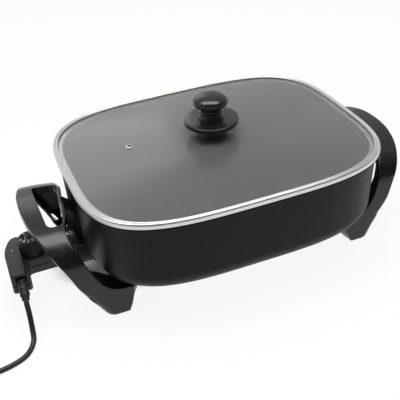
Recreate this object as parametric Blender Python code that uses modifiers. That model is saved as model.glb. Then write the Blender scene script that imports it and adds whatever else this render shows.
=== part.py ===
"""Electric table skillet with a lift-off glass lid, arched handle legs and a plug-in heat control.

Metres, +Z up. The floor is at z = 0 and the origin is at the bottom centre of the skillet with its
control. +X runs along the pan, the control plugs in at -X, and the front of the pan faces -Y.
"""
import math

import bmesh
import bpy
from mathutils import Matrix, Vector

# Clearances
GAP = 0.0003
SLIDE_GAP = 0.0004
CUT = 0.010
WELD = 0.00001

# Outline that the pan, the base pad and the lid share
OUTLINE_POWER = 3.68
OUTLINE_SEGMENTS = 48

# Pan
PAN_HALF_X = 0.2125
PAN_HALF_Y = 0.1725
PAN_TOP_Z = 0.1597
PAN_BASE_Z = 0.0460
PAN_FLANGE_WIDTH = 0.0065
PAN_FLANGE_THICK = 0.0032
PAN_TAPER = 0.0160
PAN_CORNER_RADIUS = 0.0180
PAN_INNER_RADIUS = 0.0110
PAN_WALL = 0.0034
PAN_FLOOR_Z = 0.0545
PAN_WEB = 0.0040

# Bare base pad with the cast-in heating element
PAD_HALF_X = 0.1400
PAD_HALF_Y = 0.1240
PAD_BOTTOM_Z = 0.0407
PAD_CHAMFER = 0.0015
ELEMENT_RADIUS = 0.00325
ELEMENT_HALF_X = 0.0950
ELEMENT_HALF_Y = 0.0880
ELEMENT_LEAD_BEND = 0.0260
ELEMENT_POINTS = 26
TERMINAL_SPREAD = 0.0110
TERMINAL_Z = 0.0455
PIN_RADIUS = 0.0020
PROBE_RADIUS = 0.0030
PROBE_TIP_X = 0.0760
BEAD_RADIUS = 0.0040
BEAD_LENGTH = 0.0070

# Shroud round the terminals
SHROUD_SETBACK = 0.0200
SHROUD_DEPTH = 0.0240
SHROUD_IN_X = PAN_HALF_X - SHROUD_SETBACK
SHROUD_OUT_X = SHROUD_IN_X + SHROUD_DEPTH
SHROUD_WALL = 0.0022
SHROUD_PLATE = 0.0024
SHROUD_TONGUE = 0.0028
SHROUD_TONGUE_LAP = 0.0220
SHROUD_SCREW_LAP = 0.0140
SHROUD_TONGUE_X = PAD_HALF_X - SHROUD_TONGUE_LAP
SHROUD_SCREW_X = PAD_HALF_X - SHROUD_SCREW_LAP
PIN_RECESS = 0.0075
PIN_REACH = SHROUD_OUT_X - PIN_RECESS
SHROUD_SCREW_Y = 0.0195
SHROUD_CORNER = 0.0012

# Lid
LID_INSET = 0.0025
LID_HALF_X = PAN_HALF_X - LID_INSET
LID_HALF_Y = PAN_HALF_Y - LID_INSET
RIM_HEIGHT = 0.0078
RIM_METAL = 0.0011
RIM_LIP = 0.0080
RIM_SKIRT = 0.0050
RIM_BEAD = 0.0011
GLASS_THICK = 0.0040
GLASS_SHOULDER = 0.0079
GLASS_SHOULDER_RUN = 0.0055
GLASS_DOME = 0.0032
DOME_SHARES = (0.90, 0.60, 0.20)
VENT_X = -0.1130
VENT_Y = 0.0210
VENT_RADIUS = 0.0046
VENT_BORE = 0.0020
VENT_LIP = 0.0012

# Lid knob
KNOB_STEPS = 24
SPACER_RADIUS = 0.0215
SPACER_HEIGHT = 0.0186
DISC_RADIUS = 0.0375
DISC_THICK = 0.0054
DISC_DROP = 0.0034
STEM_FOOT_RADIUS = 0.0180
STEM_RADIUS = 0.0150
STEM_HEIGHT = 0.0170
CAP_RADIUS = 0.0240
CAP_HEIGHT = 0.0165
KNOB_BORE = 0.0026
SCREW_RADIUS = 0.0022
KNOB_SCREW_LENGTH = 0.0400
WASHER_RADIUS = 0.0090
WASHER_THICK = 0.0015
GASKET_RADIUS = 0.0110
GASKET_THICK = 0.0016

# Handle and leg unit
HANDLE_OVERHANG = 0.0621
HANDLE_REACH = PAN_HALF_X + HANDLE_OVERHANG
HANDLE_HALF_SPAN = 0.1128
HANDLE_CENTRE_Y = 0.0115
HANDLE_TOP_Z = 0.1280
HANDLE_SKIN = 0.0030
HANDLE_DEPTH = 0.0100
SHOULDER_FLARE = 0.0150
FAR_LEG_FLARE = 0.0085
SHOULDER_DIP_SHARE = 0.34
TOE_TOP_SHARE = 0.26
TOE_SOLE_SHARE = 0.20
HANDLE_EDGE = 0.0018
INNER_EDGE = 0.0012
FOOT_EDGE = 0.0090
SOLE_EDGE = 0.0012
LEG_DEPTH = 0.0260
TOE_LEAN = 0.0220
OUTER_RAIL_WIDTH = 0.0256
SLOT_OUT_X = HANDLE_REACH - OUTER_RAIL_WIDTH
RAIL_WIDTH = 0.0050
SLOT_HALF_Y = 0.0530
SLOT_RADIUS = 0.0080
SLOT_STEPS = 3
BOSS_HALF_Y = 0.0180
BOSS_BITE = 0.0025
BOSS_DROP = 0.0045
BOSS_ROOT_DROP = 0.0170
BOSS_ROOT_LOW_DROP = 0.0580
BOSS_LOW_DROP = 0.0380
BOSS_SCREW_DROP = 0.0270
BOSS_TOP_Z = HANDLE_TOP_Z - BOSS_DROP
BOSS_ROOT_TOP_Z = HANDLE_TOP_Z - BOSS_ROOT_DROP
BOSS_ROOT_LOW_Z = HANDLE_TOP_Z - BOSS_ROOT_LOW_DROP
BOSS_LOW_Z = HANDLE_TOP_Z - BOSS_LOW_DROP
BOSS_SCREW_Z = HANDLE_TOP_Z - BOSS_SCREW_DROP
TOE_POST_SHARE = 0.583
TOE_POST_INSET = 0.0218
TOE_POST_RADIUS = 0.0056
TOE_POST_LOW_Z = 0.0200
HANDLE_SCREW_RADIUS = 0.0020
HANDLE_SCREW_HEAD = 0.0038
HANDLE_SCREW_HEAD_THICK = 0.0026
TOE_SCREW_SEAT_Z = 0.0160
TOE_SCREW_BITE = 0.0052

# Stations of the arch from a foot to the crown: shares of the half span, the top height,
# the reach of the outer edge, the reach of the inner edge, and how far the leg depth applies
ARCH_SHARES = (
    (1.000, 0.000, 0.7340, 0.6190, 1.00),
    (0.987, 0.100, 0.7620, 0.5995, 1.00),
    (0.975, 0.200, 0.7960, 0.5865, 1.00),
    (0.967, 0.258, 0.8110, 0.5845, 1.00),
    (0.964, 0.280, 0.8160, 0.5935, 1.00),
    (0.962, 0.294, 0.8195, 0.6480, 0.95),
    (0.958, 0.328, 0.8240, 0.6920, 0.86),
    (0.950, 0.391, 0.8375, 0.7260, 0.72),
    (0.940, 0.461, 0.8520, 0.7485, 0.58),
    (0.923, 0.550, 0.8690, 0.7700, 0.42),
    (0.901, 0.635, 0.8880, 0.7850, 0.28),
    (0.872, 0.705, 0.9060, 0.7960, 0.17),
    (0.820, 0.775, 0.9240, 0.8080, 0.09),
    (0.755, 0.832, 0.9400, 0.8230, 0.04),
    (0.676, 0.884, 0.9550, 0.8320, 0.00),
    (0.585, 0.925, 0.9680, 0.8320, 0.00),
    (0.495, 0.951, 0.9780, 0.8250, 0.00),
    (0.405, 0.969, 0.9855, 0.8110, 0.00),
    (0.305, 0.985, 0.9930, 0.7980, 0.00),
    (0.150, 0.997, 0.9985, 0.7910, 0.00),
    (0.000, 1.000, 1.0000, 0.7890, 0.00),
)
FLARE_PEAK_SHARE = 0.60
FAR_LEG_SHARES = (0.940, 0.962)
CROWN_INNER_SHARE = ARCH_SHARES[-1][3]
BOSS_OUT_X = HANDLE_REACH * CROWN_INNER_SHARE + BOSS_BITE
TOE_POST_X = HANDLE_REACH * TOE_POST_SHARE
FIRST_HOLLOW_STATION = 2
FIRST_UPRIGHT_STATION = 9

# Heat control
ARM_HALF_Y = 0.0180
ARM_BOTTOM_Z = 0.0400
ARM_TOP_Z = 0.0640
NOSE_CLEARANCE = 0.0036
ARM_NOSE_X = SHROUD_IN_X + SHROUD_PLATE + NOSE_CLEARANCE
PROBE_ROOT = 0.0335
PROBE_ROOT_X = ARM_NOSE_X + PROBE_ROOT
ARM_ROUND = 0.0040
SPLIT_Z = 0.0520
SHELL_WALL = 0.0020
SHELL_EDGE = 0.0016
ARM_LENGTH = 0.0865
GRIP_WIDTH = 0.0235
GRIP_IN_X = ARM_NOSE_X + ARM_LENGTH
GRIP_OUT_X = GRIP_IN_X + GRIP_WIDTH
GRIP_FAR_Y = 0.0360
GRIP_NEAR_Y = -0.0500
GRIP_TOP_Z = 0.0700
GRIP_LEAN = 0.0030
GRIP_TAPER = 0.0015
GRIP_TAIL_X = GRIP_OUT_X - GRIP_TAPER
GRIP_SHOULDER = 0.0260
GRIP_FAR_RADIUS = 0.0110
GRIP_SIDE_RADIUS = 0.0700
GUARD_WIDTH = 0.0022
GUARD_IN_X = GRIP_IN_X - GUARD_WIDTH
GUARD_ROUND = 0.0080
EXIT_DEPTH = 0.0045
EXIT_HALF_WIDTH = 0.0078
EXIT_LOW_Z = 0.0445
EXIT_HIGH_Z = 0.0665
NOSE_SOLID = 0.0240
SLEEVE_RADIUS = 0.0032
SLEEVE_LENGTH = 0.0220
DIAL_SETBACK = 0.0145
DIAL_X = GRIP_IN_X - DIAL_SETBACK
DIAL_RADIUS = 0.0154
DIAL_HEIGHT = 0.0245
DIAL_RIB = 0.0007
DIAL_RIBS = 26
DIAL_TOP_RADIUS = 0.0138
DIAL_BORE = 0.0028
SHAFT_RADIUS = 0.0024
SHAFT_FOOT_Z = 0.0528
SHAFT_IN_DIAL = 0.0120
COLLAR_RADIUS = 0.0046
LENS_SETBACK = 0.0105
LENS_X = GRIP_IN_X + LENS_SETBACK
LENS_Y = 0.0060
LENS_RADIUS = 0.0022
LENS_LENGTH = 0.0040
LAMP_RADIUS = 0.0018
LAMP_LENGTH = 0.0070
FRAME_LENGTH = 0.0340
FRAME_HALF_Y = 0.0130
FRAME_THICK = 0.0012
STACK_RADIUS = 0.0034
STACK_HEIGHT = 0.0034
LEAF_WIDTH = 0.0050
LEAF_THICK = 0.0008
LEAF_LENGTH = 0.0350
LEAF_SPREAD = 0.0075
CONTACT_RADIUS = 0.0016
CONTACT_HEIGHT = 0.0014
CASE_SCREW_RADIUS = 0.0014
CASE_SCREW_HEAD = 0.0026
CASE_SCREW_HEAD_THICK = 0.0016
CASE_SCREW_LENGTH = 0.0150
CLAMP_LENGTH = 0.0120
CLAMP_WIDTH = 0.0060
CLAMP_THICK = 0.0020

# Strain relief, cord and plug
CORD_ROUTE = (
    (-0.2977, -0.0850, 0.0340),
    (-0.2988, -0.0960, 0.0200),
    (-0.3022, -0.1120, 0.0078),
    (-0.3170, -0.1290, 0.0038),
    (-0.3440, -0.1385, 0.0038),
    (-0.3750, -0.1400, 0.0038),
)
CORD_RADIUS = 0.0035
RELIEF_ROOT_Y = -0.0410
RELIEF_Z = 0.0560
RELIEF_SETBACK = 0.0105
RELIEF_X = GRIP_IN_X + RELIEF_SETBACK
RELIEF_BEND_Y = -0.0610
RELIEF_END_Y = -0.0735
RELIEF_END_Z = 0.0450
RELIEF_SWAY = 0.0017
RELIEF_END_X = RELIEF_X + RELIEF_SWAY
RELIEF_ROOT_RADIUS = 0.0058
RELIEF_END_RADIUS = 0.0050
RELIEF_RIB = 0.0012
RELIEF_RINGS = 21
RELIEF_RIB_SHARES = ((0.20, 0.30), (0.45, 0.55), (0.70, 0.80))
RELIEF_SIDES = 12
CORD_SIDES_RESOLUTION = 2
CORD_STEP = 0.0105
COIL_X = 0.4150
COIL_Y = -0.0935
COIL_OUTER = 0.0465
COIL_STEP = 0.0088
COIL_LAYER_STEP = 0.0078
COIL_LAYER_TURNS = 1.375
COIL_CLIMB_TURNS = 0.5
COIL_POINTS = 24
COIL_LIFT = 0.0018
COIL_LEAST_GAP = 0.0004
TIE_WIDTH = 0.0060
TIE_THICK = 0.0012
TIE_ANGLE = 2.35
PLUG_FACE_RADIUS = 0.0185
PLUG_FACE_DEPTH = 0.0150
PLUG_BODY_RADIUS = 0.0135
PLUG_LENGTH = 0.0520
PLUG_TAIL_RADIUS = 0.0055
PLUG_PIN_RADIUS = 0.0024
PLUG_PIN_LENGTH = 0.0190
PLUG_PIN_SPREAD = 0.0095
PLUG_X = 0.4560
PLUG_TAIL_Y = -0.0200

# The skillet with its control is centred on the origin
ORIGIN_SHIFT_X = (GRIP_OUT_X - HANDLE_REACH) / 2

COLLECTION_NAME = "table_skillet"
SIDE_NAMES = ((-1, "near"), (1, "far"))
CUTTER_COLLECTION_NAME = "table_skillet_cutters"


def clear_scene():
    for item in list(bpy.data.objects):
        bpy.data.objects.remove(item, do_unlink=True)


def collection(name):
    made = bpy.data.collections.get(name)
    if made is None:
        made = bpy.data.collections.new(name)
        bpy.context.scene.collection.children.link(made)
    return made


def material(name, colour, roughness, metallic, alpha=1.0):
    made = bpy.data.materials.new(name)
    made.use_nodes = True
    shader = made.node_tree.nodes["Principled BSDF"]
    shader.inputs["Base Color"].default_value = (colour[0], colour[1], colour[2], 1.0)
    shader.inputs["Roughness"].default_value = roughness
    shader.inputs["Metallic"].default_value = metallic
    shader.inputs["Alpha"].default_value = alpha
    made.diffuse_color = (colour[0], colour[1], colour[2], alpha)
    return made


def add_object(name, data, look, parent=None):
    made = bpy.data.objects.new(name, data)
    collection(COLLECTION_NAME).objects.link(made)
    if look is not None and hasattr(data, "materials"):
        data.materials.append(look)
    if parent is not None:
        made.parent = parent
        made.matrix_parent_inverse = parent.matrix_world.inverted()
    return made


def as_cutter(item):
    for home in list(item.users_collection):
        home.objects.unlink(item)
    collection(CUTTER_COLLECTION_NAME).objects.link(item)
    item.hide_render = True
    item.display_type = "WIRE"
    return item


def empty_at(name, place):
    made = bpy.data.objects.new(name, None)
    collection(COLLECTION_NAME).objects.link(made)
    made.location = place
    made.empty_display_size = SLOT_RADIUS
    bpy.context.view_layer.update()
    return made


def finish_mesh(name, bm):
    bmesh.ops.recalc_face_normals(bm, faces=bm.faces)
    mesh = bpy.data.meshes.new(name)
    bm.to_mesh(mesh)
    bm.free()
    mesh.shade_smooth()
    mesh.set_sharp_from_angle(angle=math.radians(32))
    return mesh


def loft(name, sections, look, closed=False, parent=None, flat_faces=False):
    """Skin a run of sections that have equal counts of points; the two ends are capped."""
    bm = bmesh.new()
    rows = [[bm.verts.new(point) for point in section] for section in sections]
    count = len(rows[0])
    pairs = list(zip(rows, rows[1:]))
    if closed:
        pairs.append((rows[-1], rows[0]))
    for low, high in pairs:
        for i in range(count):
            j = (i + 1) % count
            bm.faces.new((low[i], low[j], high[j], high[i]))
    if not closed:
        bm.faces.new(list(reversed(rows[0])))
        bm.faces.new(rows[-1])
    if flat_faces:
        bmesh.ops.triangulate(bm, faces=bm.faces)
    return add_object(name, finish_mesh(name, bm), look, parent)


def outline(half_x, half_y, z):
    """One level of the rounded-rectangle outline that the pan and the lid share."""
    points = []
    for i in range(OUTLINE_SEGMENTS):
        angle = 2 * math.pi * i / OUTLINE_SEGMENTS
        c, s = math.cos(angle), math.sin(angle)
        x = half_x * math.copysign(abs(c) ** (2 / OUTLINE_POWER), c)
        y = half_y * math.copysign(abs(s) ** (2 / OUTLINE_POWER), s)
        points.append(Vector((x, y, z)))
    return points


def outline_loft(name, profile, half_x, half_y, look, closed=False, parent=None):
    """Carry a profile of (inset, height) pairs round the shared outline."""
    sections = [outline(half_x - inset, half_y - inset, z) for inset, z in profile]
    return loft(name, sections, look, closed, parent)


def turned(name, profile, look, place, steps=KNOB_STEPS, parent=None, axis="Z", closed=False):
    """Turn a profile of (radius, height) pairs about its own axis with a Screw modifier."""
    mesh = bpy.data.meshes.new(name)
    points = [(radius, 0, height) for radius, height in profile]
    edges = [(i, i + 1) for i in range(len(points) - 1)]
    if closed:
        edges.append((len(points) - 1, 0))
    mesh.from_pydata(points, edges, [])
    made = add_object(name, mesh, look)
    screw = made.modifiers.new("Turn", "SCREW")
    screw.axis = "Z"
    screw.steps = steps
    screw.render_steps = steps
    screw.use_merge_vertices = True
    screw.merge_threshold = WELD
    screw.use_smooth_shade = True
    made.location = place
    if axis == "X":
        made.rotation_euler = (0, math.pi / 2, 0)
    if axis == "-X":
        made.rotation_euler = (0, -math.pi / 2, 0)
    if axis == "-Z":
        made.rotation_euler = (math.pi, 0, 0)
    if parent is not None:
        bpy.context.view_layer.update()
        made.parent = parent
        made.matrix_parent_inverse = parent.matrix_world.inverted()
    return made


def rod(name, radius, start, end, look, sides=16, parent=None):
    """A straight round bar between two points."""
    start, end = Vector(start), Vector(end)
    bm = bmesh.new()
    bmesh.ops.create_cone(bm, cap_ends=True, segments=sides, radius1=radius, radius2=radius,
                          depth=(end - start).length)
    turn = (end - start).to_track_quat("Z", "Y").to_matrix().to_4x4()
    place = Matrix.Translation((start + end) / 2) @ turn
    bmesh.ops.transform(bm, matrix=place, verts=bm.verts)
    return add_object(name, finish_mesh(name, bm), look, parent)


def box(name, low, high, look, edge=0.0, segments=2, parent=None):
    """A block between two corners, with its edges rounded."""
    low, high = Vector(low), Vector(high)
    bm = bmesh.new()
    bmesh.ops.create_cube(bm, size=1.0)
    size = high - low
    bmesh.ops.scale(bm, vec=size, verts=bm.verts)
    bmesh.ops.translate(bm, vec=(low + high) / 2, verts=bm.verts)
    made = add_object(name, finish_mesh(name, bm), look, parent)
    if edge > 0:
        round_edges(made, edge, segments)
    return made


def round_edges(item, width, segments=2, angle=40):
    bevel = item.modifiers.new("Round", "BEVEL")
    bevel.width = width
    bevel.segments = segments
    bevel.limit_method = "ANGLE"
    bevel.angle_limit = math.radians(angle)
    bevel.use_clamp_overlap = True
    return bevel


def extruded(name, points, low, high, look, plane="XY", parent=None):
    """A flat outline as a 2D curve, extruded between two levels and turned into a mesh."""
    data = bpy.data.curves.new(name, "CURVE")
    data.dimensions = "2D"
    data.fill_mode = "BOTH"
    data.extrude = (high - low) / 2
    spline = data.splines.new("POLY")
    spline.points.add(len(points) - 1)
    for slot, (u, v) in zip(spline.points, points):
        slot.co = (u, v, 0, 1)
    spline.use_cyclic_u = True
    item = add_object(name, data, look)
    if plane == "XY":
        item.location = (0, 0, (low + high) / 2)
    else:
        item.rotation_euler = (math.pi / 2, 0, 0)
        item.location = (0, (low + high) / 2, 0)
    return meshed(item, look, parent)


def meshed(item, look, parent=None):
    """Turn a curve object into a closed mesh object of the same name."""
    name = item.name
    bpy.context.view_layer.update()
    graph = bpy.context.evaluated_depsgraph_get()
    mesh = bpy.data.meshes.new_from_object(item.evaluated_get(graph))
    world = item.matrix_world.copy()
    bpy.data.objects.remove(item, do_unlink=True)
    bm = bmesh.new()
    bm.from_mesh(mesh)
    bmesh.ops.remove_doubles(bm, verts=bm.verts, dist=WELD)
    bmesh.ops.transform(bm, matrix=world, verts=bm.verts)
    bmesh.ops.recalc_face_normals(bm, faces=bm.faces)
    mesh.materials.clear()
    bm.to_mesh(mesh)
    bm.free()
    mesh.shade_smooth()
    mesh.set_sharp_from_angle(angle=math.radians(32))
    return add_object(name, mesh, look, parent)


def tube(name, points, radius, look, resolution=CORD_SIDES_RESOLUTION, parent=None):
    """A round bar along a poly line, with filled ends."""
    data = bpy.data.curves.new(name, "CURVE")
    data.dimensions = "3D"
    data.bevel_depth = radius
    data.bevel_resolution = resolution
    data.use_fill_caps = True
    spline = data.splines.new("POLY")
    spline.points.add(len(points) - 1)
    for slot, point in zip(spline.points, points):
        slot.co = (point[0], point[1], point[2], 1)
    return add_object(name, data, look, parent)


def boolean(item, other, operation):
    step = item.modifiers.new(operation.title(), "BOOLEAN")
    step.operation = operation
    step.object = other
    step.solver = "EXACT"
    as_cutter(other)
    return step


def cut(item, other):
    return boolean(item, other, "DIFFERENCE")


def join(item, other):
    return boolean(item, other, "UNION")


def pan_wall_half_x(z):
    """Outer half length of the tapered wall at a height."""
    top = PAN_TOP_Z - PAN_FLANGE_THICK
    low = PAN_BASE_Z + PAN_CORNER_RADIUS
    share = (top - z) / (top - low)
    return PAN_HALF_X - PAN_FLANGE_WIDTH - PAN_TAPER * share


def quarter(centre_inset, centre_z, radius, start, end, steps):
    """Profile points on an arc; 0 points outward and -90 down."""
    points = []
    for i in range(steps + 1):
        angle = math.radians(start + (end - start) * i / steps)
        points.append((centre_inset - radius * math.cos(angle), centre_z + radius * math.sin(angle)))
    return points


def make_pan(look):
    wall_top = PAN_TOP_Z - PAN_FLANGE_THICK
    corner_inset = PAN_FLANGE_WIDTH + PAN_TAPER + PAN_CORNER_RADIUS
    recess_z = PAN_FLOOR_Z - PAN_WEB
    inner_inset = PAN_FLANGE_WIDTH + PAN_WALL
    floor_inset = corner_inset - PAN_CORNER_RADIUS + PAN_WALL + PAN_INNER_RADIUS
    edge = PAN_FLANGE_THICK / 4
    profile = quarter(corner_inset, PAN_BASE_Z + PAN_CORNER_RADIUS, PAN_CORNER_RADIUS, -90, -8, 4)
    profile += [(PAN_FLANGE_WIDTH, wall_top), (edge, wall_top), (0, wall_top + edge)]
    profile += [(0, PAN_TOP_Z - edge), (edge, PAN_TOP_Z)]
    profile += [(inner_inset - edge, PAN_TOP_Z), (inner_inset, PAN_TOP_Z - edge)]
    inner_arc = quarter(floor_inset, PAN_FLOOR_Z + PAN_INNER_RADIUS, PAN_INNER_RADIUS, -8, -90, 3)
    profile += inner_arc
    pan = outline_loft("pan", profile, PAN_HALF_X, PAN_HALF_Y, look)
    recess = ((-GAP, PAN_BASE_Z - CUT), (-GAP, recess_z))
    cut(pan, outline_loft("pan_recess_cutter", recess, PAD_HALF_X, PAD_HALF_Y, None))
    notch_half = TERMINAL_SPREAD + BEAD_RADIUS + PAN_WEB
    notch_low = (-PAN_HALF_X, -notch_half, PAN_BASE_Z - CUT)
    notch_high = (-PAD_HALF_X + PAN_WEB, notch_half, recess_z)
    cut(pan, box("pan_notch_cutter", notch_low, notch_high, None))
    for i, (sx, sy) in enumerate(((-1, -1), (1, -1), (1, 1), (-1, 1))):
        start = (sx * TOE_POST_X, toe_post_y(sy), PAN_BASE_Z - CUT)
        end = (sx * TOE_POST_X, toe_post_y(sy), PAN_BASE_Z + TOE_SCREW_BITE + GAP)
        hole = rod("pan_screw_hole_cutter_%d" % i, HANDLE_SCREW_RADIUS + GAP, start, end, None, 12)
        cut(pan, hole)
    return pan


def element_path():
    """Centre line of the heating element: a lead, one loop round the pad and a lead back."""
    points = []
    lead_x = -PAD_HALF_X
    half_gap = math.asin((TERMINAL_SPREAD + ELEMENT_LEAD_BEND) / ELEMENT_HALF_Y)
    points.append(Vector((lead_x, TERMINAL_SPREAD, TERMINAL_Z)))
    points.append(Vector((-ELEMENT_HALF_X - ELEMENT_LEAD_BEND, TERMINAL_SPREAD, TERMINAL_Z)))
    start, end = math.pi - half_gap, -math.pi + half_gap
    for i in range(ELEMENT_POINTS + 1):
        angle = start + (end - start) * i / ELEMENT_POINTS
        c, s = math.cos(angle), math.sin(angle)
        x = ELEMENT_HALF_X * math.copysign(abs(c) ** (2 / 3), c)
        y = ELEMENT_HALF_Y * math.copysign(abs(s) ** (2 / 3), s)
        points.append(Vector((x, y, TERMINAL_Z)))
    points.append(Vector((-ELEMENT_HALF_X - ELEMENT_LEAD_BEND, -TERMINAL_SPREAD, TERMINAL_Z)))
    points.append(Vector((lead_x, -TERMINAL_SPREAD, TERMINAL_Z)))
    return points


def make_pad(look):
    top = PAN_FLOOR_Z - PAN_WEB - GAP
    profile = [(PAD_CHAMFER, PAD_BOTTOM_Z), (0, PAD_BOTTOM_Z + PAD_CHAMFER), (0, top)]
    pad = outline_loft("base_pad", profile, PAD_HALF_X, PAD_HALF_Y, look)
    path = element_path()
    path[0] = path[0] - Vector((CUT, 0, 0))
    path[-1] = path[-1] - Vector((CUT, 0, 0))
    channel = meshed(tube("element_channel_cutter", path, ELEMENT_RADIUS + GAP, None), None)
    cut(pad, channel)
    bore = rod("probe_bore_cutter", PROBE_RADIUS + SLIDE_GAP, (-PAD_HALF_X - CUT, 0, TERMINAL_Z),
               (-PROBE_TIP_X + PROBE_RADIUS, 0, TERMINAL_Z), None)
    cut(pad, bore)
    for side in (-1, 1):
        start = (-SHROUD_SCREW_X, side * SHROUD_SCREW_Y, PAD_BOTTOM_Z - CUT)
        end = (-SHROUD_SCREW_X, side * SHROUD_SCREW_Y, TERMINAL_Z)
        name = "pad_screw_hole_cutter_%d" % side
        cut(pad, rod(name, CASE_SCREW_RADIUS + GAP, start, end, None, 12))
    return pad


def make_element(look_tube, look_pin, look_bead):
    path = element_path()
    inward = Vector((GAP, 0, 0))
    path[0] = path[0] + inward
    path[-1] = path[-1] + inward
    tube("heating_element", path, ELEMENT_RADIUS, look_tube)
    bore = PIN_RADIUS + GAP
    profile = [(bore, BEAD_LENGTH), (BEAD_RADIUS, BEAD_LENGTH), (BEAD_RADIUS, 0), (bore, 0)]
    for side, end_name in SIDE_NAMES:
        start = (-PAD_HALF_X, side * TERMINAL_SPREAD, TERMINAL_Z)
        end = (-PIN_REACH, side * TERMINAL_SPREAD, TERMINAL_Z)
        rod("element_pin_" + end_name, PIN_RADIUS, start, end, look_pin, 12)
        place = (-SHROUD_IN_X + GAP, side * TERMINAL_SPREAD, TERMINAL_Z)
        turned("terminal_bead_" + end_name, profile, look_bead, place, 12, None, "X", True)


def make_shroud(look, look_screw):
    inner_y = ARM_HALF_Y + SLIDE_GAP
    inner_low = ARM_BOTTOM_Z - SLIDE_GAP
    inner_high = ARM_TOP_Z + SLIDE_GAP
    low = (-SHROUD_OUT_X, -inner_y - SHROUD_WALL, inner_low - SHROUD_WALL)
    high = (-SHROUD_IN_X, inner_y + SHROUD_WALL, inner_high + SHROUD_WALL)
    shroud = box("terminal_shroud", low, high, look, SHROUD_CORNER)
    tongue_half = SHROUD_SCREW_Y + TOE_POST_RADIUS
    tongue_top = PAD_BOTTOM_Z - GAP
    tongue_low = (-SHROUD_IN_X - SHROUD_PLATE / 2, -tongue_half, tongue_top - SHROUD_TONGUE)
    tongue_high = (-SHROUD_TONGUE_X, tongue_half, tongue_top)
    join(shroud, box("shroud_tongue_joiner", tongue_low, tongue_high, None))
    mouth = box("shroud_mouth_cutter", (-SHROUD_OUT_X - CUT, -inner_y, inner_low),
                (-SHROUD_IN_X - SHROUD_PLATE, inner_y, inner_high), None)
    cut(shroud, mouth)
    pin_hole = PIN_RADIUS + GAP
    holes = ((0, PROBE_RADIUS + SLIDE_GAP), (TERMINAL_SPREAD, pin_hole), (-TERMINAL_SPREAD, pin_hole))
    for i, (y, radius) in enumerate(holes):
        start = (-SHROUD_IN_X - CUT, y, TERMINAL_Z)
        end = (-SHROUD_IN_X + CUT, y, TERMINAL_Z)
        cut(shroud, rod("shroud_hole_cutter_%d" % i, radius, start, end, None, 16))
    for side, end_name in SIDE_NAMES:
        y = side * SHROUD_SCREW_Y
        start = (-SHROUD_SCREW_X, y, tongue_top - SHROUD_TONGUE - CUT)
        end = (-SHROUD_SCREW_X, y, PAD_BOTTOM_Z)
        cut(shroud, rod("tongue_hole_cutter_%d" % side, CASE_SCREW_RADIUS + GAP, start, end, None, 12))
        seat = tongue_top - SHROUD_TONGUE - GAP
        tip = TERMINAL_Z - GAP - seat
        machine_screw("shroud_screw_" + end_name, CASE_SCREW_RADIUS, CASE_SCREW_HEAD,
                      CASE_SCREW_HEAD_THICK, tip, (-SHROUD_SCREW_X, y, seat), look_screw, "Z")
    return shroud


def machine_screw(name, radius, head, head_thick, length, seat, look, axis, parent=None, steps=8):
    """A round-headed screw: its seat is at the given point and its tip runs along the axis."""
    crown = head * 0.62
    profile = [(0, length), (radius, length), (radius, 0), (head, 0), (head, -head_thick / 2),
               (crown, -head_thick), (0, -head_thick)]
    return turned(name, profile, look, seat, steps, parent, axis)


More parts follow.
